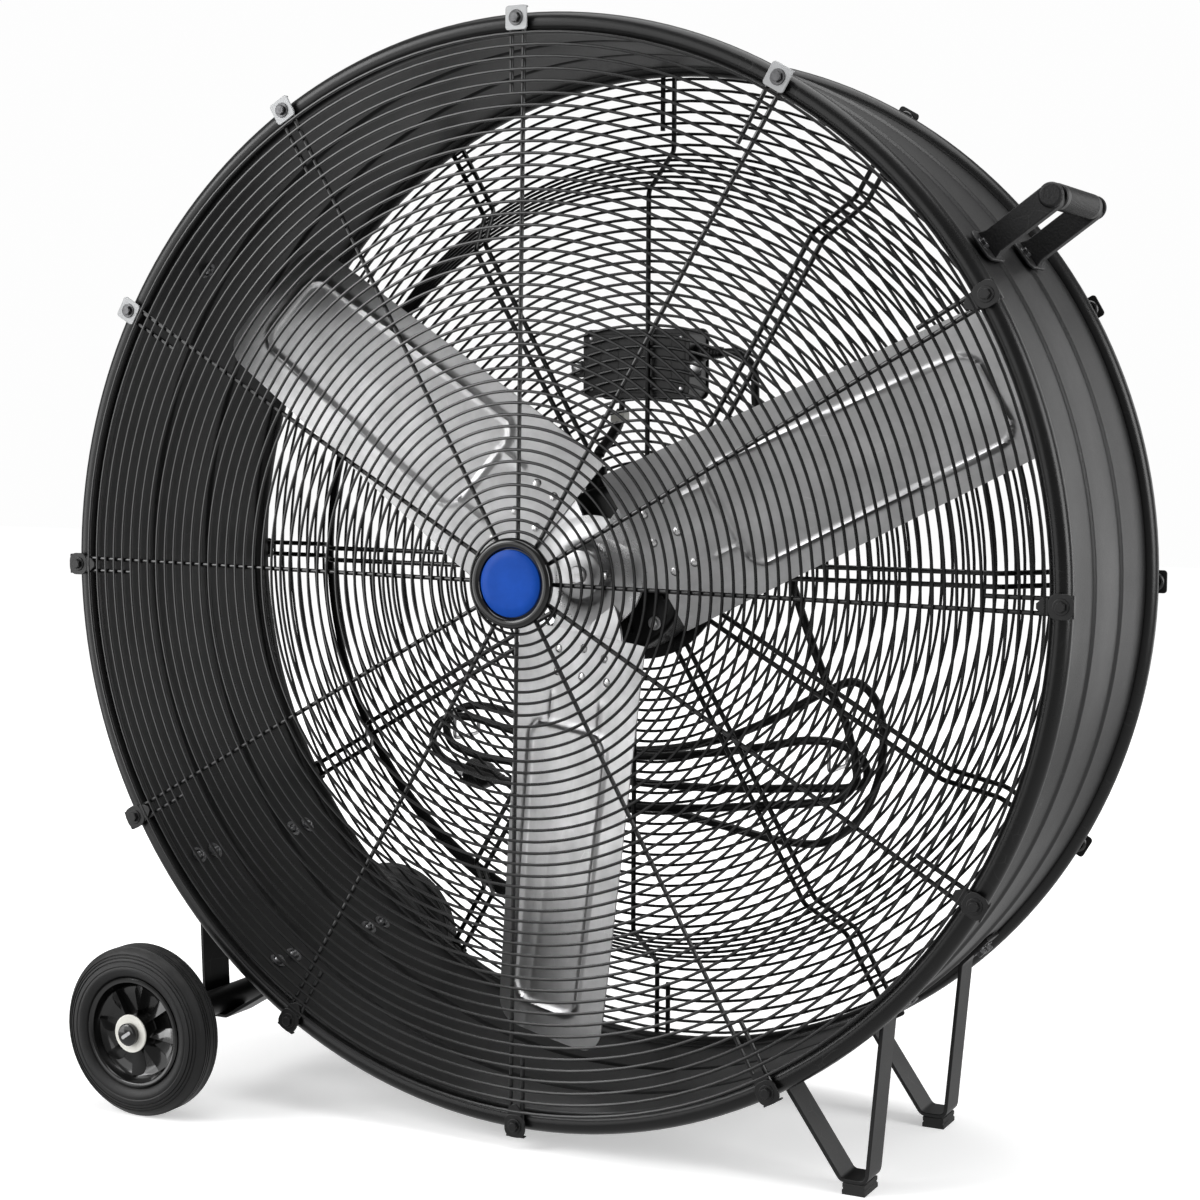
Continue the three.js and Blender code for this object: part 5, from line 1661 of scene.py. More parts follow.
@dataclass
class Drum:
    """The rolled sheet drum with its rolled edges, swages and the bolts through its wall."""

    shop: Workshop
    radius: float = 0.556
    sheet: float = 0.002
    bead: float = 0.011
    bead_places: tuple[float, float] = (-0.1525, 0.1685)
    swages: tuple[float, float] = (-0.042, 0.058)
    swage_width: float = 0.014
    swage_height: float = 0.003
    lap_lift: float = 0.0004
    lap_height: float = 0.0012
    lap_sunk: float = 0.0006
    lap_half_angle: float = 1.1
    lap_spans: tuple[tuple[float, float], ...] = ((-0.139, -0.052), (-0.032, 0.048), (0.068, 0.155))
    steps: int = 200

    def shell(self) -> None:
        """The sheet with its swages, and a rolled edge at each end."""
        piece = Piece("rolled_drum", "drum", replaces=("drum_shell",), smooth_angle=50)
        outside: Outline = [(self.radius, self.bead_places[0])]
        for middle in self.swages:
            for share in evenly(-1.0, 1.0, 11):
                lift = self.swage_height * 0.5 * (1 + math.cos(math.pi * share))
                outside.append((self.radius + lift, middle + share * self.swage_width / 2))
        outside.append((self.radius, self.bead_places[1]))
        inside = [(r - self.sheet, y) for r, y in reversed(outside)]
        profile = [*outside, *inside]
        piece.add(lathe([*profile, profile[0]], self.steps))
        self.shop.place(piece)
        beads = Piece("drum_beads", "bead", replaces=("drum_shell",), smooth_angle=50)
        for y in self.bead_places:
            ring = arc((self.radius, y), self.bead, 0, 345, 24)
            beads.add(lathe([*ring, ring[0]], self.steps))
        self.shop.place(beads)

    def seam(self) -> None:
        """The lapped and spot welded joint of the sheet, at the bottom."""
        piece = Piece("drum_lap_seam", "drum", bevel=0.0003)
        radius, half = self.radius + self.lap_lift, self.lap_half_angle
        outline = [around(radius + self.lap_height, 180 + a) for a in evenly(-half, half, 5)]
        outline += [around(radius - self.lap_sunk, 180 + a) for a in evenly(half, -half, 5)]
        for start, end in self.lap_spans:
            piece.add(prism([(p.x, p.z) for p in outline], start, end))
        self.shop.place(piece)

    def bolts(self, places: Sequence[tuple[float, float]]) -> None:
        """Round bolt heads on the inside of the wall.

        Args:
            places: Angle and y of each bolt.
        """
        heads = Piece("drum_inner_bolts", "wall_bolt", smooth_angle=40)
        for degrees, y in places:
            at = around(self.radius - self.sheet, degrees, y)
            inward = Vector((-at.x, 0.0, -at.z)).normalized()
            for shape in (round_head(0.0064, 0.0072, 20), disc(0.0096, 0.0, -0.0012, 24)):
                heads.add(moved(shape, seated(inward, at)))
        self.shop.place(heads)

    def build(self, bolt_places: Sequence[tuple[float, float]]) -> None:
        """Builds the drum.

        Args:
            bolt_places: Angle and y of each bolt through the wall.
        """
        self.shell()
        self.seam()
        self.bolts(bolt_places)


@dataclass
class FrontGuard:
    """Close rings on hairpin spokes, clamped to the drum's front edge."""

    shop: Workshop
    spoke: float = 0.0023
    spoke_y: float = -0.1659
    ring: float = 0.0016
    ring_y: float = -0.1695
    ring_count: int = 43
    inner_ring: float = 0.052
    outer_ring: float = 0.545
    short_leg: float = 0.072
    plate_radius: float = 0.038
    plate_half: float = 0.0012
    clamp_size: float = 0.024
    clamp_plate: float = 0.0022
    clamp_front: float = -0.1705

    def spokes(self) -> None:
        """The hairpin spokes and the centre plate."""
        half = HAIRPIN_GAP / 2
        tilt = half / CLAMP_CIRCLE
        hairpin = [Vector((0.03 * tilt, self.spoke_y, 0.03))]
        hairpin += [Vector((x, self.spoke_y, z)) for x, z in arc((0.0, CLAMP_CIRCLE), half, 0, 180, 13)]
        hairpin.append(Vector((-half, self.spoke_y, CLAMP_CIRCLE - self.short_leg)))
        spokes = Piece("front_spokes", "wire", replaces=("front_guard",))
        spokes.add(tube(hairpin, self.spoke, 10))
        self.shop.array(spokes, SPOKE_COUNT, 0.0, SPOKE_STEP)
        plate = Piece("front_centre_plate", "wire", replaces=("front_guard",), smooth_angle=30)
        y, r, half = self.spoke_y, self.plate_radius, self.plate_half
        profile = [
            (0.0, y - half), (r - half / 2, y - half), (r, y - half / 2), (r, y + half), (0.0, y + half),
        ]
        plate.add(lathe(profile, 64))
        self.shop.place(plate)

    def rings(self) -> None:
        """The welded rings."""
        piece = Piece("front_rings", "wire", replaces=("front_guard",))
        places = [
            (radius, self.ring_y)
            for radius in evenly(self.inner_ring, self.outer_ring, self.ring_count)
        ]
        self.shop.rings(piece, places, self.ring, 144, 7)

    def clamp(self, name: str, finish: str, pointed: bool) -> list[Piece]:
        """A pressed clamp plate at the top of the guard, and its bolt.

        Args:
            name: The pieces' first word.
            finish: The plate's finish.
            pointed: Whether the plate ends in a pointed tab towards the middle.

        Returns:
            The plate's piece and the bolt's piece.
        """
        size, front = self.clamp_size, self.clamp_front
        corner = 0.0085 if pointed else 0.0035
        outline = [(x, z + CLAMP_CIRCLE) for x, z in rounded_outline(size, size, corner, 6)]
        plate = Piece(f"{name}_plates", finish, bevel=0.0005)
        plate.add(prism(outline, front, front + self.clamp_plate))
        lip = [
            (-size * 0.36, 0.0), (size * 0.36, 0.0), (size * 0.30, -0.006), (size * 0.10, -0.0115),
            (-size * 0.10, -0.0115), (-size * 0.30, -0.006),
        ]
        if pointed:
            plate.add(shifted(prism(lip, front + 0.0001, front + 0.0017), z=CLAMP_CIRCLE - size / 2 + 0.0005))
        plate.add(
            shifted(
                prism(rounded_outline(size * 0.9, 0.0018, 0.0008, 3), front + 0.001, front + 0.0065),
                z=CLAMP_CIRCLE + size / 2 - 0.001,
            )
        )
        bolt = Piece(f"{name}_bolts", "clamp_black" if pointed else "black_bolt", bevel=0.0003)
        for shape in FRONT_CLAMP_BOLT.shapes():
            bolt.add(shifted(shape, y=front, z=CLAMP_CIRCLE))
        shank = disc(0.0026, front, front + 0.0075, 12)
        bolt.add(shifted(shank, z=CLAMP_CIRCLE))
        return [plate, bolt]

    def clamps(self) -> None:
        """Four grey clamps at the top and eight black ones with pointed tabs."""
        for name, finish, pointed, count, first in (
            ("grey_clamp", "clamp_grey", False, 4, -60.0),
            ("black_clamp", "clamp_black", True, 8, 60.0),
        ):
            turns = [((first + i * SPOKE_STEP) % 360) / SPOKE_STEP for i in range(count)]
            nodes = tuple(f"front_clamp_{round(turn) + 1}" for turn in turns)
            for piece in self.clamp(name, finish, pointed):
                piece.replaces = nodes
                self.shop.array(piece, count, first, SPOKE_STEP)

    def build(self) -> None:
        """Builds the guard."""
        self.spokes()
        self.rings()
        self.clamps()


@dataclass
class RearGuard:
    """The dished rear guard, whose flat middle carries the motor."""

    shop: Workshop
    spoke: float = 0.0028
    ring: float = 0.0017
    rim_y: float = 0.18198
    middle_y: float = 0.11798
    dish_outer: float = 0.465
    dish_inner: float = 0.415
    ring_lift: float = 0.0043
    leg_end: float = 0.074
    short_leg: float = 0.072
    clamp_front: float = 0.1831
    clamp_back: float = 0.1851

    def y_at(self, radius: float) -> float:
        """Where the spokes run at this radius.

        Args:
            radius: Distance from the axis.

        Returns:
            The spokes' Y.
        """
        share = (radius - self.dish_inner) / (self.dish_outer - self.dish_inner)
        return self.middle_y + (self.rim_y - self.middle_y) * min(1.0, max(0.0, share))

    def spokes(self) -> None:
        """Ten spokes with two full legs, and two whose second leg is short."""
        half = HAIRPIN_GAP / 2
        bend = [Vector((x, self.rim_y, z)) for x, z in arc((0.0, CLAMP_CIRCLE), half, 0, 180, 13)]

        def leg(x: float) -> list[Vector]:
            """A leg from the motor's ring to the rim.

            Args:
                x: The leg's place beside the spoke's middle.

            Returns:
                The leg's path.
            """
            corners = [Vector((x, self.y_at(r), r)) for r in (self.leg_end, self.dish_inner, self.dish_outer)]
            corners.append(Vector((x, self.rim_y, CLAMP_CIRCLE - 0.002)))
            return fillet(corners, 0.012, 6)[:-1]

        full = [*leg(half), *bend, *reversed(leg(-half))]
        short = [*leg(half), *bend, Vector((-half, self.rim_y, CLAMP_CIRCLE - self.short_leg))]
        for name, path, count, first, step in (
            ("rear_spokes_right", full, 5, 30.0, 30.0),
            ("rear_spokes_left", full, 5, 210.0, 30.0),
            ("rear_spokes_upright", short, 2, 0.0, 180.0),
        ):
            piece = Piece(name, "wire", replaces=("rear_guard",))
            piece.add(tube(path, self.spoke, 10))
            self.shop.array(piece, count, first, step)

    def rings(self) -> None:
        """The welded rings over the middle, the cone and the rim."""
        middle = evenly(0.116, self.dish_inner - 0.006, 26)
        cone = evenly(self.dish_inner + 0.004, self.dish_outer - 0.004, 7)
        rim = evenly(self.dish_outer + 0.007, 0.545, 7)
        places = [(r, self.y_at(r) + self.ring_lift) for r in (*middle, *cone, *rim)]
        self.shop.rings(Piece("rear_rings", "wire", replaces=("rear_guard",)), places, self.ring, 132, 7)

    def mount(self) -> None:
        """The ring that carries the motor, with its bolts, and the clamp plates."""
        ring = Piece("motor_mount_ring", "wire", replaces=("rear_guard",), smooth_angle=30)
        a, b = 0.1126, 0.1166
        profile = [
            (0.066, a), (0.1034, a), (0.104, a + 0.0006), (0.104, b - 0.0006), (0.1034, b), (0.0666, b),
            (0.066, b - 0.0006), (0.066, a),
        ]
        ring.add(lathe(profile, 96))
        self.shop.place(ring)
        bolt = Piece("motor_mount_bolts", "zinc", bevel=0.0003)
        for shape in MOUNT_BOLT.shapes():
            bolt.add(moved(shape, Matrix.Translation((0, b, 0.085)) @ FACING_BACK))
        self.shop.array(bolt, 4, 45.0, 90.0)
        plate = Piece("rear_clamp_plates", "clamp_black", bevel=0.0005, replaces=("rear_guard",))
        outline = [(x, z + CLAMP_CIRCLE) for x, z in rounded_outline(0.024, 0.024, 0.0035, 5)]
        plate.add(prism(outline, self.clamp_front, self.clamp_back))
        self.shop.array(plate, SPOKE_COUNT, 0.0, SPOKE_STEP)
        nuts = Piece("rear_clamp_bolts", "black_bolt", bevel=0.0003)
        for shape in REAR_CLAMP_BOLT.shapes():
            nuts.add(moved(shape, Matrix.Translation((0, self.clamp_back, CLAMP_CIRCLE)) @ FACING_BACK))
        self.shop.array(nuts, SPOKE_COUNT, 0.0, SPOKE_STEP)

    def build(self) -> None:
        """Builds the guard."""
        self.spokes()
        self.rings()
        self.mount()


@dataclass
class Badge:
    """The round badge in the middle of the front guard: a glossy ring and a plain blue disc."""

    shop: Workshop
    radius: float = 0.046
    disc: float = 0.0342
    back: float = -0.17217
    front: float = -0.18317

    def build(self) -> None:
        """Builds the ring and the disc."""
        r, d, f, b = self.radius, self.disc, self.front, self.back
        ring = Piece("badge_ring", "gloss_ring", replaces=("badge_bezel",), smooth_angle=60)
        lip = arc((r - 0.0054, f + 0.0054), 0.0054, 0, -180, 14)
        profile = [
            (0.0, b), (r - 0.002, b), (r - 0.0006, b - 0.001), (r, b - 0.003), *lip, (d + 0.0006, f + 0.0052),
            (0.0, f + 0.0052),
        ]
        ring.add(lathe(profile, 96))
        self.shop.place(ring)
        face = Piece("badge_face", "blue", replaces=("badge_disc",), smooth_angle=60)
        dome = [
            (0.0, f + 0.0051), (d, f + 0.0051), (d, f + 0.0030), (d - 0.0007, f + 0.0023),
            (d * 0.7, f + 0.0017), (d * 0.35, f + 0.0014), (0.0, f + 0.0013),
        ]
        face.add(lathe(dome, 96))
        self.shop.place(face)


@dataclass
class Rotor:
    """Three pressed blades on a pressed hub."""

    shop: Workshop
    count: int = 3
    first_angle: float = 65.0
    root: float = 0.066
    tip: float = 0.516
    thickness: float = 0.0024
    pitch: float = 17.0
    middle: float = -0.004
    camber: float = 0.009
    leading: tuple[float, float] = (0.097, 0.084)
    trailing: tuple[float, float] = (0.084, 0.068)
    corner: float = 0.026
    arm_end: float = 0.132
    panel_start: float = 0.170
    panel_end: float = 0.484
    ridge_height: float = 0.0028
    ridge_width: float = 0.0052
    panel_corner: float = 0.022
    rib_places: tuple[float, float] = (-0.030, 0.040)
    rib_start: float = 0.138
    rib_end: float = 0.172
    bore: float = 0.0098
    barrel: float = 0.027
    cone: float = 0.062
    arm_start: float = 0.024
    arm_half_thickness: float = 0.0019
    screw_seat: float = 0.0268
    screw_angle: float = 92.0
    screw_places: tuple[float, float] = (-0.0235, -0.0125)
    socket: float = 0.0034

    def half_width(self, side: float, radius: float) -> float:
        """Half width of a blade on its leading (+) or trailing (-) side at this radius.

        Args:
            side: Positive for the leading side.
            radius: Distance from the axis.

        Returns:
            The half width.
        """
        share = (radius - self.root) / (self.tip - self.root)
        start, end = self.leading if side > 0 else self.trailing
        into = max(0.0, self.corner - (self.tip - radius))
        return start + (end - start) * share - (self.corner - math.sqrt(max(0.0, self.corner**2 - into**2)))

    def y_at(self, across: float, radius: float) -> float:
        """Y of the blade's middle surface, without its pressed ridge.

        Args:
            across: Place across the blade.
            radius: Distance from the axis.

        Returns:
            The Y.
        """
        rise = min(1.0, max(0.0, (radius - self.arm_end) / (self.tip - self.arm_end)))
        bend = (across / 0.097) ** 2
        return self.middle + across * math.tan(math.radians(self.pitch)) + self.camber * rise * (bend - 0.5)

    def ridge(self, across: float, radius: float) -> float:
        """How far the pressed ridge stands forward here.

        Args:
            across: Place across the blade.
            radius: Distance from the axis.

        Returns:
            The height of the ridge that outlines the panel, and of the two short ribs at the root.
        """
        share = (radius - self.root) / (self.tip - self.root)
        right = self.leading[0] + (self.leading[1] - self.leading[0]) * share - 0.025
        left = -(self.trailing[0] + (self.trailing[1] - self.trailing[0]) * share) + 0.036
        centre_x, centre_r = (left + right) / 2, (self.panel_start + self.panel_end) / 2
        half_x, half_r = (right - left) / 2, (self.panel_end - self.panel_start) / 2
        round_corner = self.panel_corner
        qx, qr = abs(across - centre_x) - half_x + round_corner, abs(
            radius - centre_r
        ) - half_r + round_corner
        distance = math.hypot(max(qx, 0.0), max(qr, 0.0)) + min(max(qx, qr), 0.0) - round_corner
        height = math.exp(-((distance / (self.ridge_width / 2)) ** 2))
        for x in self.rib_places:
            nearest = min(max(radius, self.rib_start), self.rib_end)
            height = max(height, 0.7 * math.exp(-((math.hypot(across - x, radius - nearest) / 0.0026) ** 2)))
        return self.ridge_height * height

    def blade_mesh(self, piece: Piece) -> bpy.types.Mesh:
        """A blade at angle 0 with its UV map laid along it.

        Args:
            piece: The piece that takes the shape.

        Returns:
            The mesh.
        """
        radii = evenly(self.root, self.tip - self.corner, 150)
        radii += [self.tip - self.corner * (1 - math.sin(math.radians(a))) for a in evenly(6, 90, 15)]
        columns = 74
        points: list[Point] = []
        for side in (-1, 1):
            for radius in radii:
                for share in evenly(-1.0, 1.0, columns):
                    across = share * self.half_width(share, radius)
                    y = self.y_at(across, radius) - self.ridge(across, radius)
                    points.append((across, y + side * self.thickness / 2, radius))
        piece.add(closed_sheet(points, len(radii), columns))
        mesh = piece.mesh()
        layer = mesh.uv_layers.new(name="along_blade")
        places = [mesh.vertices[loop.vertex_index].co for loop in mesh.loops]
        layer.data.foreach_set("uv", [value for co in places for value in (co.x, co.z)])
        return mesh

    def blades(self) -> None:
        """The three blades."""
        for index in range(self.count):
            piece = Piece(
                f"pressed_blade_{index + 1}", "aluminium", Body.ROTOR, (f"blade_{index + 1}",),
                smooth_angle=40,
            )
            mesh = self.blade_mesh(piece)
            mesh.transform(turned_about_axis(self.first_angle + index * 360 / self.count))
            obj = in_scene(piece.name, mesh)
            self.shop.lift(obj)
            mesh.materials.append(self.shop.paintbox.material(piece.finish))
            self.shop.finish(obj, piece)

    def rivets(self) -> None:
        """The domed rivets that hold each blade on its arm."""
        piece = Piece("blade_rivets", "rivet", Body.ROTOR, smooth_angle=50)
        normal = Vector((math.tan(math.radians(self.pitch)), -1.0, 0.0)).normalized()
        places = (
            (0.0, 0.082), (-0.036, 0.113), (0.0, 0.113), (0.036, 0.113), (-0.030, 0.088), (0.036, 0.088),
        )
        for across, radius in places:
            at = Vector((across, self.y_at(across, radius), radius)) + normal * (self.thickness / 2 - 0.0002)
            piece.add(moved(round_head(0.0052, 0.0024, 20), seated(normal, at)))
        self.shop.array(piece, self.count, self.first_angle, 360 / self.count)

    def hub(self) -> None:
        """The pressed hub: a barrel that flares into a cone, and an arm behind each blade."""
        bore, barrel, cone = self.bore, self.barrel, self.cone
        slope = math.tan(math.radians(self.pitch))
        offset = self.thickness / 2 + 0.0003 + 0.002
        cone_front = self.middle + offset - 0.002 - cone * slope * 0.2
        front = [(bore, -0.034), (barrel - 0.0015, -0.034), (barrel, -0.0325), (barrel, cone_front - 0.016)]
        for turn in (math.radians(a) for a in evenly(8, 90, 12)):
            flare, rise = 0.034 * (1 - math.cos(turn)), 0.019 * math.sin(turn)
            front.append((barrel + 0.001 + flare, cone_front - 0.016 + rise))
        back = [(cone, cone_front + 0.003), (cone, cone_front + 0.007), (0.029, cone_front + 0.010)]
        back += [(barrel, 0.026), (bore, 0.026), (bore, -0.034)]
        piece = Piece("hub_cone", "pressed", Body.ROTOR, ("fan_spider",), smooth_angle=50)
        piece.add(lathe([*front, *back], 96))
        self.shop.place(piece)
        arm = Piece("hub_arms", "pressed", Body.ROTOR, ("fan_spider",), bevel=0.0005, smooth_angle=50)
        rows, columns = evenly(0.0, 1.0, 22), evenly(-1.0, 1.0, 25)
        points: list[Point] = []
        for side in (-1, 1):
            for share in rows:
                radius = self.arm_start + (self.arm_end - self.arm_start) * share
                half = 0.024 + 0.028 * min(1.0, share * 2.1) ** 0.6
                half -= 0.014 * max(0.0, (share - 0.86) / 0.14) ** 2
                twist = 0.35 + 0.65 * min(1.0, share * 2.0)
                for c in columns:
                    across = c * half
                    y = self.middle + twist * across * slope + offset + side * self.arm_half_thickness
                    points.append((across, y, radius))
        arm.add(closed_sheet(points, len(rows), len(columns)))
        self.shop.array(arm, self.count, self.first_angle, 360 / self.count)

    def screws(self) -> None:
        """The shaft's end, and the two socket screws that lock the hub on it, with a dark hexagon of painted
        shade sitting in each socket.
        """
        shaft = Piece("shaft_end", "zinc", Body.ROTOR, ("motor_shaft",), smooth_angle=30)
        shaft.add(
            lathe([(0.0, -0.038), (0.0085, -0.038), (0.0095, -0.037), (0.0095, 0.1103), (0.0, 0.1103)], 48)
        )
        self.shop.place(shaft)
        screws = Piece("hub_set_screws", "rivet", Body.ROTOR, smooth_angle=30)
        # Each socket holds a dark glossy hexagon as painted shade: it stands in for the shadow inside the hex
        # hole, not for a part of the screw.
        socket_shade = Piece("set_screw_socket_shade", "rim", Body.ROTOR, smooth_angle=30)
        head = [(0.0, 0.002), (0.0065, 0.002), (0.0065, -0.0042), (0.0060, -0.0048), (0.0040, -0.0048)]
        head += [(self.socket, -0.0018), (0.0, -0.0018)]
        for y in self.screw_places:
            at = around(self.screw_seat, self.screw_angle, y)
            there = seated(Vector((at.x, 0.0, at.z)), at)
            screws.add(moved(lathe(head, 24), there))
            socket_shade.add(moved(prism(hexagon(self.socket), -0.0026, 0.0), there))
        self.shop.place(screws)
        self.shop.place(socket_shade)

    def build(self) -> None:
        """Builds the rotor."""
        self.blades()
        self.rivets()
        self.hub()
        self.screws()


@dataclass
class Motor:
    """The motor on the rear guard's mount, with its lead down from the switch box."""

    shop: Workshop
    radius: float = 0.092
    front: float = 0.0323
    rear: float = 0.1123
    bell: float = 0.020
    shaft_hole: float = 0.0125
    fin_count: int = 9
    fin_depth: float = 0.0022
    lead_radius: float = 0.0035
    conduit_radii: tuple[float, float] = (0.0054, 0.0062)
    gland_at: Point = (-0.030, 0.0723, 0.6773)

    def bells(self) -> None:
        """The two cast end bells."""
        r = self.radius
        for side, node, face in (
            (Side.FRONT, "motor_front_bell", self.front), (Side.REAR, "motor_rear_bell", self.rear),
        ):
            s = -float(side.value)
            seam = face + s * self.bell
            hole = self.shaft_hole
            profile = [
                (hole, face + s * 0.001), (0.024, face), (0.027, face + s * 0.003), (0.034, face + s * 0.006),
            ]
            profile += [(0.076, face + s * 0.0075)]
            for turn in (math.radians(a) for a in evenly(0, 90, 8)):
                profile.append(
                    (r - 0.010 + 0.010 * math.sin(turn), face + s * (0.0175 - 0.010 * math.cos(turn)))
                )
            profile += [(r, seam), (hole, seam), profile[0]]
            piece = Piece(f"motor_{side.word}_cover", "enamel", replaces=(node,), smooth_angle=40)
            piece.add(lathe(profile, 96))
            for index in range(8):
                rib = shifted(
                    prism(rounded_outline(0.0045, 0.040, 0.002, 4), face + s * 0.0035, face + s * 0.012),
                    z=0.053,
                )
                piece.add(moved(rib, turned_about_axis(22.5 + index * 45)))
            self.shop.place(piece)

    def shell(self) -> None:
        """The wound part's finned shell."""
        start, end = self.front + self.bell, self.rear - self.bell
        r, low = self.radius, self.radius - self.fin_depth
        profile: Outline = [(r - 0.006, start)]
        pitch = (end - start) / self.fin_count
        for index in range(self.fin_count):
            y = start + index * pitch
            profile += [
                (low, y), (low, y + pitch * 0.3), (r, y + pitch * 0.38), (r, y + pitch * 0.92),
                (low, y + pitch),
            ]
        profile += [(r - 0.006, end), profile[0]]
        piece = Piece("motor_finned_shell", "enamel", replaces=("motor_shell",), smooth_angle=30)
        piece.add(lathe(profile, 96))
        self.shop.place(piece)

    def bolts(self) -> None:
        """The bright through bolts of the front bell."""
        bolt = Piece("motor_through_bolts", "zinc", bevel=0.0003)
        for shape in THROUGH_BOLT.shapes():
            bolt.add(shifted(shape, y=self.front + 0.0078, z=0.078))
        self.shop.array(bolt, 4, 45.0, 90.0)

    def lead(self) -> None:
        """The lead from the box and the gland that it enters."""
        points = [
            (-36, 140.6, 772.7), (-36, 140.6, 762.7), (-38, 136.6, 745), (-38, 110, 724), (-30, 72.3, 709.6),
            (-30, 72.3, 697.6),
        ]
        route = smooth_route([Vector(p) * MM for p in points], 0.003)
        lead = Piece("motor_supply_lead", "cord", replaces=("motor_lead",))
        lead.add(tube(route, self.lead_radius, 14))
        self.shop.place(lead, on_axis=False)
        sleeve = Piece("lead_conduit", "plastic", smooth_angle=60)
        middle = smooth_route([Vector(p) * MM for p in points], 0.0008)[16:-14]
        sleeve.add(tube(middle, [self.conduit_radii[(i // 2) % 2] for i in range(len(middle))], 20))
        self.shop.place(sleeve, on_axis=False)
        tag = Piece("lead_tag", "nylon", bevel=0.0004)
        tag.add(
            moved(
                prism(rounded_outline(0.0165, 0.014, 0.003, 4), -0.0075, 0.0075),
                Matrix.Translation((-0.0372, 0.1378, 0.7515)),
            )
        )
        self.shop.place(tag, on_axis=False)
        gland = Piece("motor_lead_gland", "enamel", replaces=("motor_gland",), smooth_angle=35)
        body = [
            (0.0, 0.0105), (0.0148, 0.0105), (0.0148, -0.0072), (0.0112, -0.0090), (0.0098, -0.0094),
            (0.0084, -0.0196), (0.0046, -0.0200), (0.0, -0.0200),
        ]
        there = seated(Vector((0, 0, 1)), Vector(self.gland_at))
        gland.add(moved(lathe(body, 32), there))
        for index in range(10):
            rib = prism(rounded_outline(0.0022, 0.0016, 0.0006, 3), -0.0062, 0.002)
            turn = Matrix.Rotation(math.radians(index * 36), 4, "Y") @ Matrix.Translation((0.0, 0.0, 0.0146))
            gland.add(moved(moved(rib, turn), there))
        self.shop.place(gland, on_axis=False)

    def build(self) -> None:
        """Builds the motor."""
        self.bells()
        self.shell()
        self.bolts()
        self.lead()


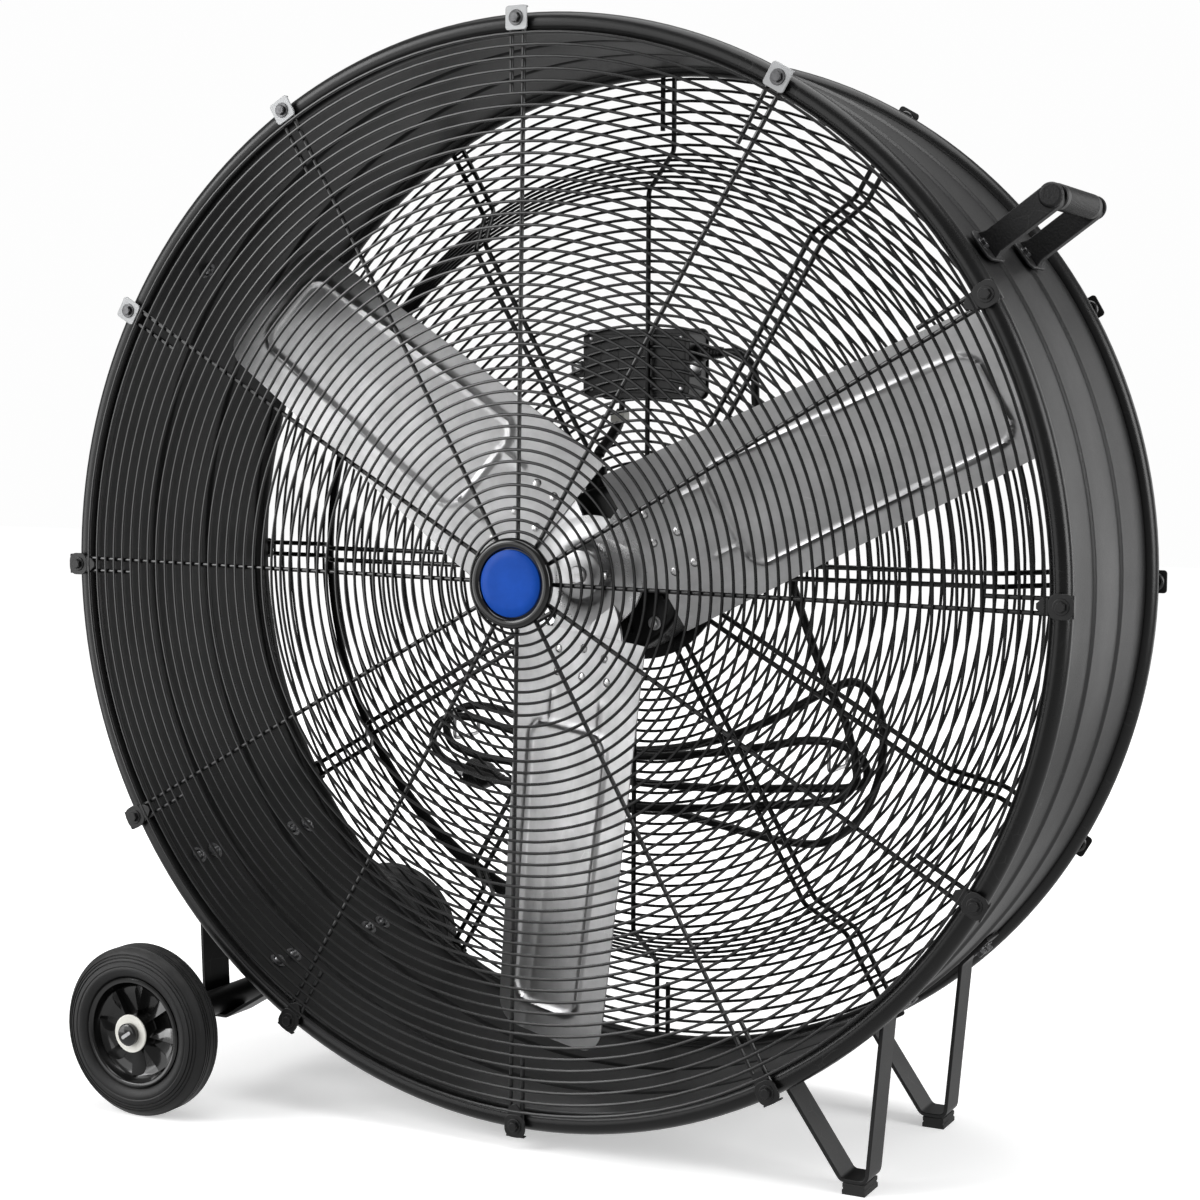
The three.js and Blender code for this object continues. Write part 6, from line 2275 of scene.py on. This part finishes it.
@dataclass
class SwitchBox:
    """The control box behind the guard, its cover, turning knob and cord gland."""

    shop: Workshop
    x: float = -0.012
    z: float = 0.811
    front: float = 0.1256
    depth: float = 0.046
    width: float = 0.132
    height: float = 0.076
    cover: float = 0.004
    knob_radius: float = 0.019
    gland_at: Point = (0.0543, 0.148624, 0.823)

    def box(self) -> None:
        """The box with its ribs, screw ears and screw caps."""
        body = Piece("control_box", "plastic", replaces=("switch_box",), bevel=0.0008)
        outline = rounded_outline(self.width, self.height, 0.009, 7)
        body.add(prism(outline, self.front + 0.0006, self.front + self.depth))
        body.add(
            prism(
                rounded_outline(self.width - 0.010, self.height - 0.010, 0.007, 6), self.front,
                self.front + 0.002,
            )
        )
        for x in evenly(-0.044, 0.044, 5):
            body.add(
                shifted(
                    prism(
                        rounded_outline(0.0022, self.height - 0.014, 0.0010, 3), self.front - 0.0002,
                        self.front + 0.003,
                    ),
                    x=x,
                )
            )
        for side in (-1, 1):
            ear = prism(rounded_outline(0.017, 0.019, 0.005, 5), self.front, self.front + 0.003)
            body.add(shifted(ear, x=side * (self.width / 2 + 0.0062), z=-0.006))
        self.shop.place(self._here(body), on_axis=False)
        caps = Piece("box_screw_caps", "zinc", smooth_angle=40)
        for side in (-1, 1):
            screw = shifted(
                round_head(0.0078, 0.0036, 24), x=side * (self.width / 2 + 0.0072), y=self.front, z=-0.004,
            )
            caps.add(screw)
        for x in (-0.056, 0.056):
            for z in (-0.028, 0.028):
                caps.add(shifted(round_head(0.0030, 0.0014, 16), x=x, y=self.front + 0.0002, z=z))
        self.shop.place(self._here(caps), on_axis=False)

    def lid(self) -> None:
        """The cover on the back, with its screws and the knob's scale."""
        back = self.front + self.depth + 0.0003
        lid = Piece(
            "control_cover", "plastic", replaces=("switch_box_cover",), bevel=0.0012, bevel_segments=3,
        )
        lid.add(
            prism(
                rounded_outline(self.width + 0.004, self.height + 0.004, 0.009, 7), back,
                back + self.cover - 0.0005,
            )
        )
        self.shop.place(self._here(lid), on_axis=False)
        marks = Piece("cover_screws", "zinc", smooth_angle=40)
        for x in (-0.058, 0.058):
            for z in (-0.030, 0.030):
                screw = moved(round_head(0.0036, 0.0016, 18), FACING_BACK)
                marks.add(shifted(screw, x=x, y=back + self.cover - 0.0006, z=z))
        self.shop.place(self._here(marks), on_axis=False)
        scale = Piece("knob_scale", "nylon")
        for degrees in evenly(0, 120, 4):
            tick = shifted(
                prism(
                    rounded_outline(0.0012, 0.0045, 0.0005, 3), back + self.cover - 0.0008,
                    back + self.cover - 0.0002,
                ),
                z=0.0265,
            )
            scale.add(moved(tick, turned_about_axis(-degrees)))
        self.shop.place(self._here(scale), on_axis=False)

    def knob(self) -> None:
        """The fluted knob with its pointer."""
        face = self.front + self.depth + 0.0003 + self.cover + 0.0005
        r = self.knob_radius
        knob = Piece("selector_knob", "plastic", Body.KNOB, ("switch_knob",), bevel=0.0005, smooth_angle=35)
        profile = [
            (0.0, face - 0.016), (0.004, face - 0.016), (0.004, face), (r - 0.0006, face), (r, face + 0.0008),
            (r, face + 0.0036), (r - 0.0012, face + 0.0052), (r - 0.0032, face + 0.0068),
            (0.0, face + 0.0070),
        ]
        knob.add(lathe(profile, 60))
        knob.add(prism(rounded_outline(0.0068, 2 * r - 0.0062, 0.003, 5), face + 0.005, face + 0.0168))
        self.shop.place(self._here(knob), on_axis=False)
        line = Piece("knob_pointer_line", "nylon", Body.KNOB)
        line.add(
            shifted(prism(rounded_outline(0.0014, 0.011, 0.0006, 3), face + 0.0164, face + 0.01695), z=0.008)
        )
        self.shop.place(self._here(line), on_axis=False)

    def gland(self) -> None:
        """The strain relief in which the cord leaves the box."""
        start, bore = Vector(self.gland_at), 0.00505
        profile = [(bore, 0.0), (0.0092, 0.0), (0.0098, -0.0006), (0.0098, -0.0084), (0.0082, -0.0098)]
        for index in range(5):
            y = -0.0108 - index * 0.0037
            r = 0.0079 - index * 0.00032
            profile += [(r, y), (r, y - 0.0021), (r - 0.0011, y - 0.0026), (r - 0.0011, y - 0.0034)]
        profile += [(0.0062, -0.030), (bore, -0.030), profile[0]]
        relief = Piece("cord_strain_relief", "plastic", replaces=("power_gland",), smooth_angle=35)
        relief.add(moved(lathe(profile, 32), seated(Vector((1, 0, 0)), start)))
        self.shop.place(relief, on_axis=False)

    def _here(self, piece: Piece) -> Piece:
        """The piece with its shapes moved from the box's middle to its place.

        Args:
            piece: The piece.

        Returns:
            The same piece, moved.
        """
        piece.shapes = [shifted(shape, self.x, 0.0, self.z) for shape in piece.shapes]
        return piece

    def build(self) -> None:
        """Builds the box."""
        self.box()
        self.lid()
        self.knob()
        self.gland()


@dataclass
class CordHooks:
    """Two bent wire hooks on the rear guard that carry the gathered cord."""

    shop: Workshop
    wire: float = 0.00225
    back: float = 0.12786
    reach: float = 0.056
    places: tuple[tuple[str, float, float], ...] = (("right", 0.224, 0.368), ("left", -0.248, 0.372))

    def build(self) -> None:
        """Builds both hooks."""
        for word, x, z in self.places:
            corners = [
                Vector((x, self.back, z + 0.034)), Vector((x, self.back, z)),
                Vector((x, self.back + self.reach, z)), Vector((x, self.back + self.reach, z + 0.016)),
            ]
            hook = Piece(f"{word}_cord_hook", "zinc", replaces=(f"cord_hook_{word}",))
            hook.add(tube(fillet(corners, 0.007, 8), self.wire, 14))
            self.shop.place(hook, on_axis=False)


@dataclass
class Handle:
    """The lifting handle on the drum's upper right."""

    shop: Workshop
    angle: float = 54.0
    seat: float = 0.5593
    grip_radius: float = 0.638
    grip: float = 0.0125
    arm_spacing: float = 0.136
    arm_width: float = 0.025
    arm_thickness: float = 0.013
    bolt_spread: float = 0.019

    def _there(self, piece: Piece) -> Piece:
        """The piece turned to the handle's angle.

        Args:
            piece: The piece.

        Returns:
            The same piece, turned.
        """
        piece.shapes = [moved(shape, turned_about_axis(self.angle)) for shape in piece.shapes]
        return piece

    def frame(self) -> None:
        """The two arms with their feet and the round bosses that hold the grip."""
        piece = Piece("handle_arms", "handle", replaces=("handle_frame",), bevel=0.0012, bevel_segments=3)
        half_y, half_t = self.arm_spacing / 2, self.arm_thickness / 2
        for side in (-1, 1):
            foot, top, w = self.seat + 0.0005, self.grip_radius, self.arm_width / 2
            outline = [(-w - 0.0035, foot), (w + 0.0035, foot), (w, foot + 0.010), (w, top - 0.002)]
            outline += [
                (w * math.cos(math.radians(a)), top - 0.002 + (w - 0.002) * math.sin(math.radians(a)))
                for a in evenly(15, 165, 9)
            ]
            outline += [(-w, top - 0.002), (-w, foot + 0.010)]
            piece.add(prism(outline, side * half_y - half_t, side * half_y + half_t))
            ends = lathe([
                (0.0, -0.0060), (self.grip - 0.0025, -0.0060), (self.grip - 0.0004, -0.0040),
                (self.grip - 0.0004, 0.0), (0.0, 0.0),
            ], 36)
            turn = Matrix.Identity(4) if side < 0 else FACING_BACK
            piece.add(shifted(moved(ends, turn), y=side * (half_y + half_t - 0.0005), z=top))
        self.shop.place(self._there(piece))
        plates = Piece("handle_feet", "handle", bevel=0.0008)
        for side in (-1, 1):
            outline = rounded_outline(0.034, 0.056, 0.012, 7)
            plate = moved(prism(outline, 0.0, 0.003), Matrix.Rotation(math.radians(90), 4, "X"))
            plates.add(shifted(plate, y=side * half_y, z=self.seat))
        self.shop.place(self._there(plates))
        bolts = Piece("handle_bolts", "black_bolt", bevel=0.0004)
        for side in (-1, 1):
            for end in (-1, 1):
                for shape in HANDLE_BOLT.shapes():
                    at = Vector((0.0, side * half_y + end * self.bolt_spread, self.seat + 0.003))
                    bolts.add(moved(shape, seated(Vector((0, 0, 1)), at)))
        self.shop.place(self._there(bolts))

    def rubber(self) -> None:
        """The ribbed rubber grip."""
        inner, outer = self.grip - 0.0025, self.grip
        half = (self.arm_spacing - self.arm_thickness) / 2 - 0.0003
        profile: Outline = [(inner, -half), (outer - 0.0012, -half), (outer, -half + 0.0012)]
        for y in evenly(-half + 0.012, half - 0.012, 26):
            profile += [
                (outer, y - 0.0011), (outer - 0.0007, y - 0.0005), (outer - 0.0007, y + 0.0005),
                (outer, y + 0.0011),
            ]
        profile += [(outer, half - 0.0012), (outer - 0.0012, half), (inner, half), profile[0]]
        grip = Piece("ribbed_grip", "grip", replaces=("handle_grip",), smooth_angle=30)
        grip.add(shifted(lathe(profile, 64), z=self.grip_radius))
        self.shop.place(self._there(grip))

    def build(self) -> None:
        """Builds the handle."""
        self.frame()
        self.rubber()


@dataclass
class Stand:
    """The bent straps that carry the drum on its axle and on its two feet."""

    shop: Workshop
    thickness: float = 0.004
    tab_radius: float = 0.55885
    wheel_width: float = 0.046
    wheel_y: float = 0.0925
    foot_width: float = 0.037
    foot_y: float = 0.1185
    foot_x: float = 0.358
    wheel_bolt_spread: float = 0.015
    foot_bolt_spread: float = 0.010
    axle_end: float = 0.27005
    sleeve_end: float = 0.22975
    washer_inner: float = 0.26775
    washer_outer: float = 0.26975
    cap_face: float = 0.27035

    def _tab(self, degrees: float) -> Vector:
        """A point where a tab lies on the drum, from the floor.

        Args:
            degrees: Angle clockwise from the top.

        Returns:
            The point.
        """
        return around(self.tab_radius, degrees) + Vector((0, 0, AXIS_HEIGHT))

    def strap(self, name: str, node: str, corners: Sequence[Vector], y: float, width: float) -> None:
        """A bent strap with rounded bends.

        Args:
            name: The piece's name.
            node: The frame's node that it stands for.
            corners: The strap's centre line.
            y: The middle of its width.
            width: Its width.
        """
        piece = Piece(name, "strap", replaces=(node,), bevel=0.0007, smooth_angle=40)
        piece.add(strap_shape(fillet(corners, 0.009, 7), self.thickness, y - width / 2, y + width / 2))
        self.shop.place(piece, on_axis=False)

    def bolts(self, degrees: float, y: float, spread: float) -> list[Shape]:
        """Two hexagon heads on a tab's outside.

        Args:
            degrees: The tab's angle.
            y: The middle of the strap's width.
            spread: How far each bolt stands from that middle.

        Returns:
            The shapes.
        """
        shapes: list[Shape] = []
        outward = around(1.0, degrees)
        for end in (-1, 1):
            at = self._tab(degrees) + outward * 0.0019 + Vector((0, y + end * spread, 0))
            shapes += [moved(shape, seated(outward, at)) for shape in STRAP_BOLT.shapes()]
        return shapes

    def straps(self) -> None:
        """All four straps and their bolts."""
        bolts = Piece("strap_bolts", "black_bolt", bevel=0.0004)
        low = AXLE_Z - 0.0163
        for side in Side:
            y = side.value * self.wheel_y
            corners = [
                self._tab(236.4), self._tab(231.6), Vector((-0.4323, 0, low)), Vector((-0.4037, 0, low)),
                self._tab(214.9), self._tab(219.6),
            ]
            self.strap(
                f"wheel_strap_{side.word}_bent", f"wheel_strap_{side.word}", corners, y, self.wheel_width,
            )
            spread = self.wheel_bolt_spread
            bolts.add(*self.bolts(234.3, y, spread), *self.bolts(217.6, y, spread))
            y = side.value * self.foot_y
            corners = [
                self._tab(153.6), self._tab(149.6), Vector((0.345, 0, 0.0135)), Vector((0.371, 0, 0.0135)),
                self._tab(136.4), self._tab(132.2),
            ]
            self.strap(f"foot_strap_{side.word}_bent", f"foot_strap_{side.word}", corners, y, self.foot_width)
            spread = self.foot_bolt_spread
            bolts.add(*self.bolts(151.9, y, spread), *self.bolts(134.0, y, spread))
        self.shop.place(bolts, on_axis=False)

    def pads(self) -> None:
        """The rubber foot pads, with grooves underneath."""
        for side in Side:
            pad = Piece(f"rubber_foot_{side.word}", "pad", replaces=(f"foot_pad_{side.word}",), bevel=0.0010)
            y = side.value * self.foot_y
            half = self.foot_width / 2
            outline = [
                (-0.0115, 0.0112), (-0.0115, 0.0072), (-0.0108, 0.0066), (-0.0108, 0.0052), (-0.012, 0.0046),
                (-0.012, 0.0),
            ]
            outline += [(-x, z) for x, z in reversed(outline)]
            pad.add(shifted(prism(outline, y - half, y + half), x=self.foot_x))
            self.shop.place(pad, on_axis=False)

    def axle(self) -> None:
        """The axle, its tube, the washers and the end caps."""
        centre = Matrix.Translation((AXLE_X, 0.0, AXLE_Z))
        end = self.axle_end
        bar = Piece("wheel_axle", "zinc", replaces=("axle",), smooth_angle=30)
        bar.add(
            moved(
                lathe([
                    (0.0, -end), (0.0074, -end), (0.008, -end + 0.0006), (0.008, end - 0.0006), (0.0074, end),
                    (0.0, end),
                ], 40),
                centre,
            )
        )
        self.shop.place(bar, on_axis=False)
        sleeve = Piece("axle_sleeve", "strap", replaces=("axle_tube",), smooth_angle=30)
        length = self.sleeve_end
        profile = [
            (0.0086, -length), (0.0134, -length), (0.014, -length + 0.0006), (0.014, length - 0.0006),
            (0.0134, length), (0.0086, length), (0.0086, -length),
        ]
        sleeve.add(moved(lathe(profile, 48), centre))
        self.shop.place(sleeve, on_axis=False)
        for side in Side:
            s = side.value
            washer = Piece(
                f"nylon_washer_{side.word}", "nylon", replaces=(f"wheel_washer_{side.word}",),
                smooth_angle=30,
            )
            inner, outer = s * self.washer_inner, s * self.washer_outer
            profile = [
                (0.0086, inner), (0.0200, inner), (0.0205, inner + s * 0.0005), (0.0205, outer - s * 0.0004),
                (0.0201, outer), (0.0086, outer), (0.0086, inner),
            ]
            washer.add(moved(lathe(profile, 48), centre))
            self.shop.place(washer, on_axis=False)
            cap = Piece(f"axle_end_{side.word}", "rim", replaces=(f"axle_cap_{side.word}",), smooth_angle=35)
            a = s * self.cap_face
            profile = [
                (0.0, a), (0.0115, a), (0.012, a + s * 0.0005), (0.012, a + s * 0.0045),
                (0.0108, a + s * 0.0060), (0.0090, a + s * 0.0066), (0.0, a + s * 0.0066),
            ]
            cap.add(moved(lathe(profile, 48), centre))
            self.shop.place(cap, on_axis=False)
            slot = Piece(f"axle_screw_{side.word}", "zinc", smooth_angle=35)
            bar = prism(rounded_outline(0.0135, 0.0036, 0.0014, 5), a + s * 0.0060, a + s * 0.0069)
            slot.add(moved(moved(bar, turned_about_axis(-35.0)), centre))
            self.shop.place(slot, on_axis=False)

    def build(self) -> None:
        """Builds the stand."""
        self.straps()
        self.pads()
        self.axle()


@dataclass
class Wheel:
    """A solid rubber tyre on a glossy moulded rim with vanes."""

    shop: Workshop
    side: Side
    middle: float = 0.24875
    radius: float = 0.092
    half: float = 0.0215
    tyre_inner: float = 0.060
    rim_radius: float = 0.0597
    rim_half: float = 0.0185
    hub: float = 0.019
    bore: float = 0.0084
    vanes: int = 8

    @property
    def body(self) -> Body:
        """The body that this wheel turns with.

        Returns:
            The body.
        """
        return Body.FRONT_WHEEL if self.side is Side.FRONT else Body.REAR_WHEEL

    def _there(self, piece: Piece) -> Piece:
        """The piece with its outside turned towards the wheel's own side and moved to its place.

        Args:
            piece: The piece.

        Returns:
            The same piece, moved.
        """
        flip = Matrix.Identity(4) if self.side is Side.FRONT else FACING_BACK
        place = Matrix.Translation((AXLE_X, self.side.value * self.middle, AXLE_Z)) @ flip
        piece.shapes = [moved(shape, place) for shape in piece.shapes]
        return piece

    def tyre(self) -> None:
        """The tyre with tread grooves round it and grooves on its shoulders."""
        r, h, inner = self.radius, self.half, self.tyre_inner
        half_profile = [
            (inner, h - 0.006), (inner + 0.002, h - 0.0035), (inner + 0.005, h - 0.0012),
            (inner + 0.008, h - 0.0003),
        ]
        half_profile += [(inner + 0.0105, h), (inner + 0.0118, h - 0.0008), (inner + 0.013, h - 0.0002)]
        for radius in (r - 0.0150, r - 0.0115, r - 0.0085):
            drop = 0.0012 + (radius - (r - 0.0150)) * 0.36
            half_profile += [
                (radius, h - drop), (radius + 0.0005, h - drop - 0.0012),
                (radius + 0.0013, h - drop - 0.0013), (radius + 0.0018, h - drop - 0.0004),
            ]
        half_profile += [(r - 0.0050, h - 0.0052), (r - 0.0028, h - 0.0075), (r - 0.0012, h - 0.0102)]
        for y in (0.0100, 0.0066, 0.0032):
            half_profile += [
                (r - 0.0002, y + 0.0006), (r - 0.0013, y + 0.0003), (r - 0.0013, y - 0.0003), (r, y - 0.0006),
            ]
        profile = [*half_profile, *[(radius, -y) for radius, y in reversed(half_profile)]]
        piece = Piece(
            f"rubber_tyre_{self.side.word}", "tyre", self.body, (f"tyre_{self.side.word}",), smooth_angle=40,
        )
        piece.add(lathe([*profile, profile[0]], 144))
        self.shop.place(self._there(piece), on_axis=False)

    def rim(self) -> None:
        """The rim's bowls, hub and vanes; its outside looks towards -Y while it is built."""
        r, h, hub, bore = self.rim_radius, self.rim_half, self.hub, self.bore
        piece = Piece(
            f"moulded_rim_{self.side.word}", "rim", self.body, (f"wheel_rim_{self.side.word}",),
            smooth_angle=40,
        )
        outside = [
            (bore, -h), (hub - 0.004, -h), (hub - 0.0022, -h + 0.0006), (hub - 0.0008, -h + 0.004),
            (hub, -0.0070), (hub + 0.003, -0.0035),
        ]
        outside += [
            (0.040, -0.0030), (0.0475, -0.0048), (0.0515, -0.0085), (0.0535, -h + 0.003),
            (0.0545, -h + 0.0008),
        ]
        outside += [(0.0556, -h), (r - 0.0012, -h), (r, -h + 0.0012)]
        inside = [
            (r, h - 0.001), (r - 0.001, h), (0.0556, h), (0.0535, h - 0.003), (0.0510, 0.0100),
            (0.0475, 0.0062), (0.040, 0.0040), (hub + 0.003, 0.0040), (hub, 0.008), (hub, h), (bore, h),
        ]
        profile = [*outside, *inside]
        piece.add(lathe([*profile, profile[0]], 120))
        for index in range(self.vanes):
            piece.add(self._vane(360.0 * index / self.vanes))
        self.shop.place(self._there(piece), on_axis=False)

    def _vane(self, degrees: float) -> Shape:
        """A raised fan-shaped vane that slopes from one edge to the other.

        Args:
            degrees: Its angle clockwise from the top.

        Returns:
            The shape.
        """
        points: list[Point] = []
        rows, columns = evenly(self.hub - 0.001, 0.0495, 9), evenly(-9.5, 9.5, 7)
        for layer in range(2):
            for radius in rows:
                for angle in columns:
                    share = (angle + 9.5) / 19
                    fall = 0.5 - 0.5 * math.cos(math.pi * min(1.0, (radius - self.hub + 0.001) / 0.0305))
                    top = -0.0035 - (0.0095 - 0.0035 * fall) * share
                    y = top if layer == 0 else 0.0
                    p = around(radius, degrees + angle)
                    points.append((p.x, y, p.z))
        return closed_sheet(points, len(rows), len(columns))

    def build(self) -> None:
        """Builds the wheel."""
        self.tyre()
        self.rim()


# ---------------------------------------------------------------- the whole fan
def bolt_places() -> Outline:
    """Angle and y of each bolt whose end shows inside the drum.

    Returns:
        The places.
    """
    places = [(306.3, -0.079)]
    for side in Side:
        for degrees in (233.4, 217.5):
            y, spread = side.value * Stand.wheel_y, Stand.wheel_bolt_spread
            places += [(degrees, y + end * spread) for end in (-1, 1)]
        for degrees in (151.6, 134.3):
            y, spread = side.value * Stand.foot_y, Stand.foot_bolt_spread
            places += [(degrees, y + end * spread) for end in (-1, 1)]
        y, spread = side.value * Handle.arm_spacing / 2, Handle.bolt_spread
        places += [(Handle.angle, y + end * spread) for end in (-1, 1)]
    return places


def main() -> None:
    """Builds the fan round its frame, piece by piece."""
    logging.basicConfig(level=logging.INFO, format="%(message)s")
    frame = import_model()
    Studio().build()
    shop = Workshop(frame, Paintbox())
    PowerCord(shop).build()
    Drum(shop).build(bolt_places())
    FrontGuard(shop).build()
    RearGuard(shop).build()
    Badge(shop).build()
    Rotor(shop).build()
    Motor(shop).build()
    SwitchBox(shop).build()
    CordHooks(shop).build()
    Handle(shop).build()
    Stand(shop).build()
    for side in Side:
        Wheel(shop, side).build()
    shop.dress(("motor_front_bearing", "motor_rear_bearing"), "zinc")
    shop.dress(("motor_stator", "motor_rotor_core"), "enamel")


if __name__ == "__main__":
    main()
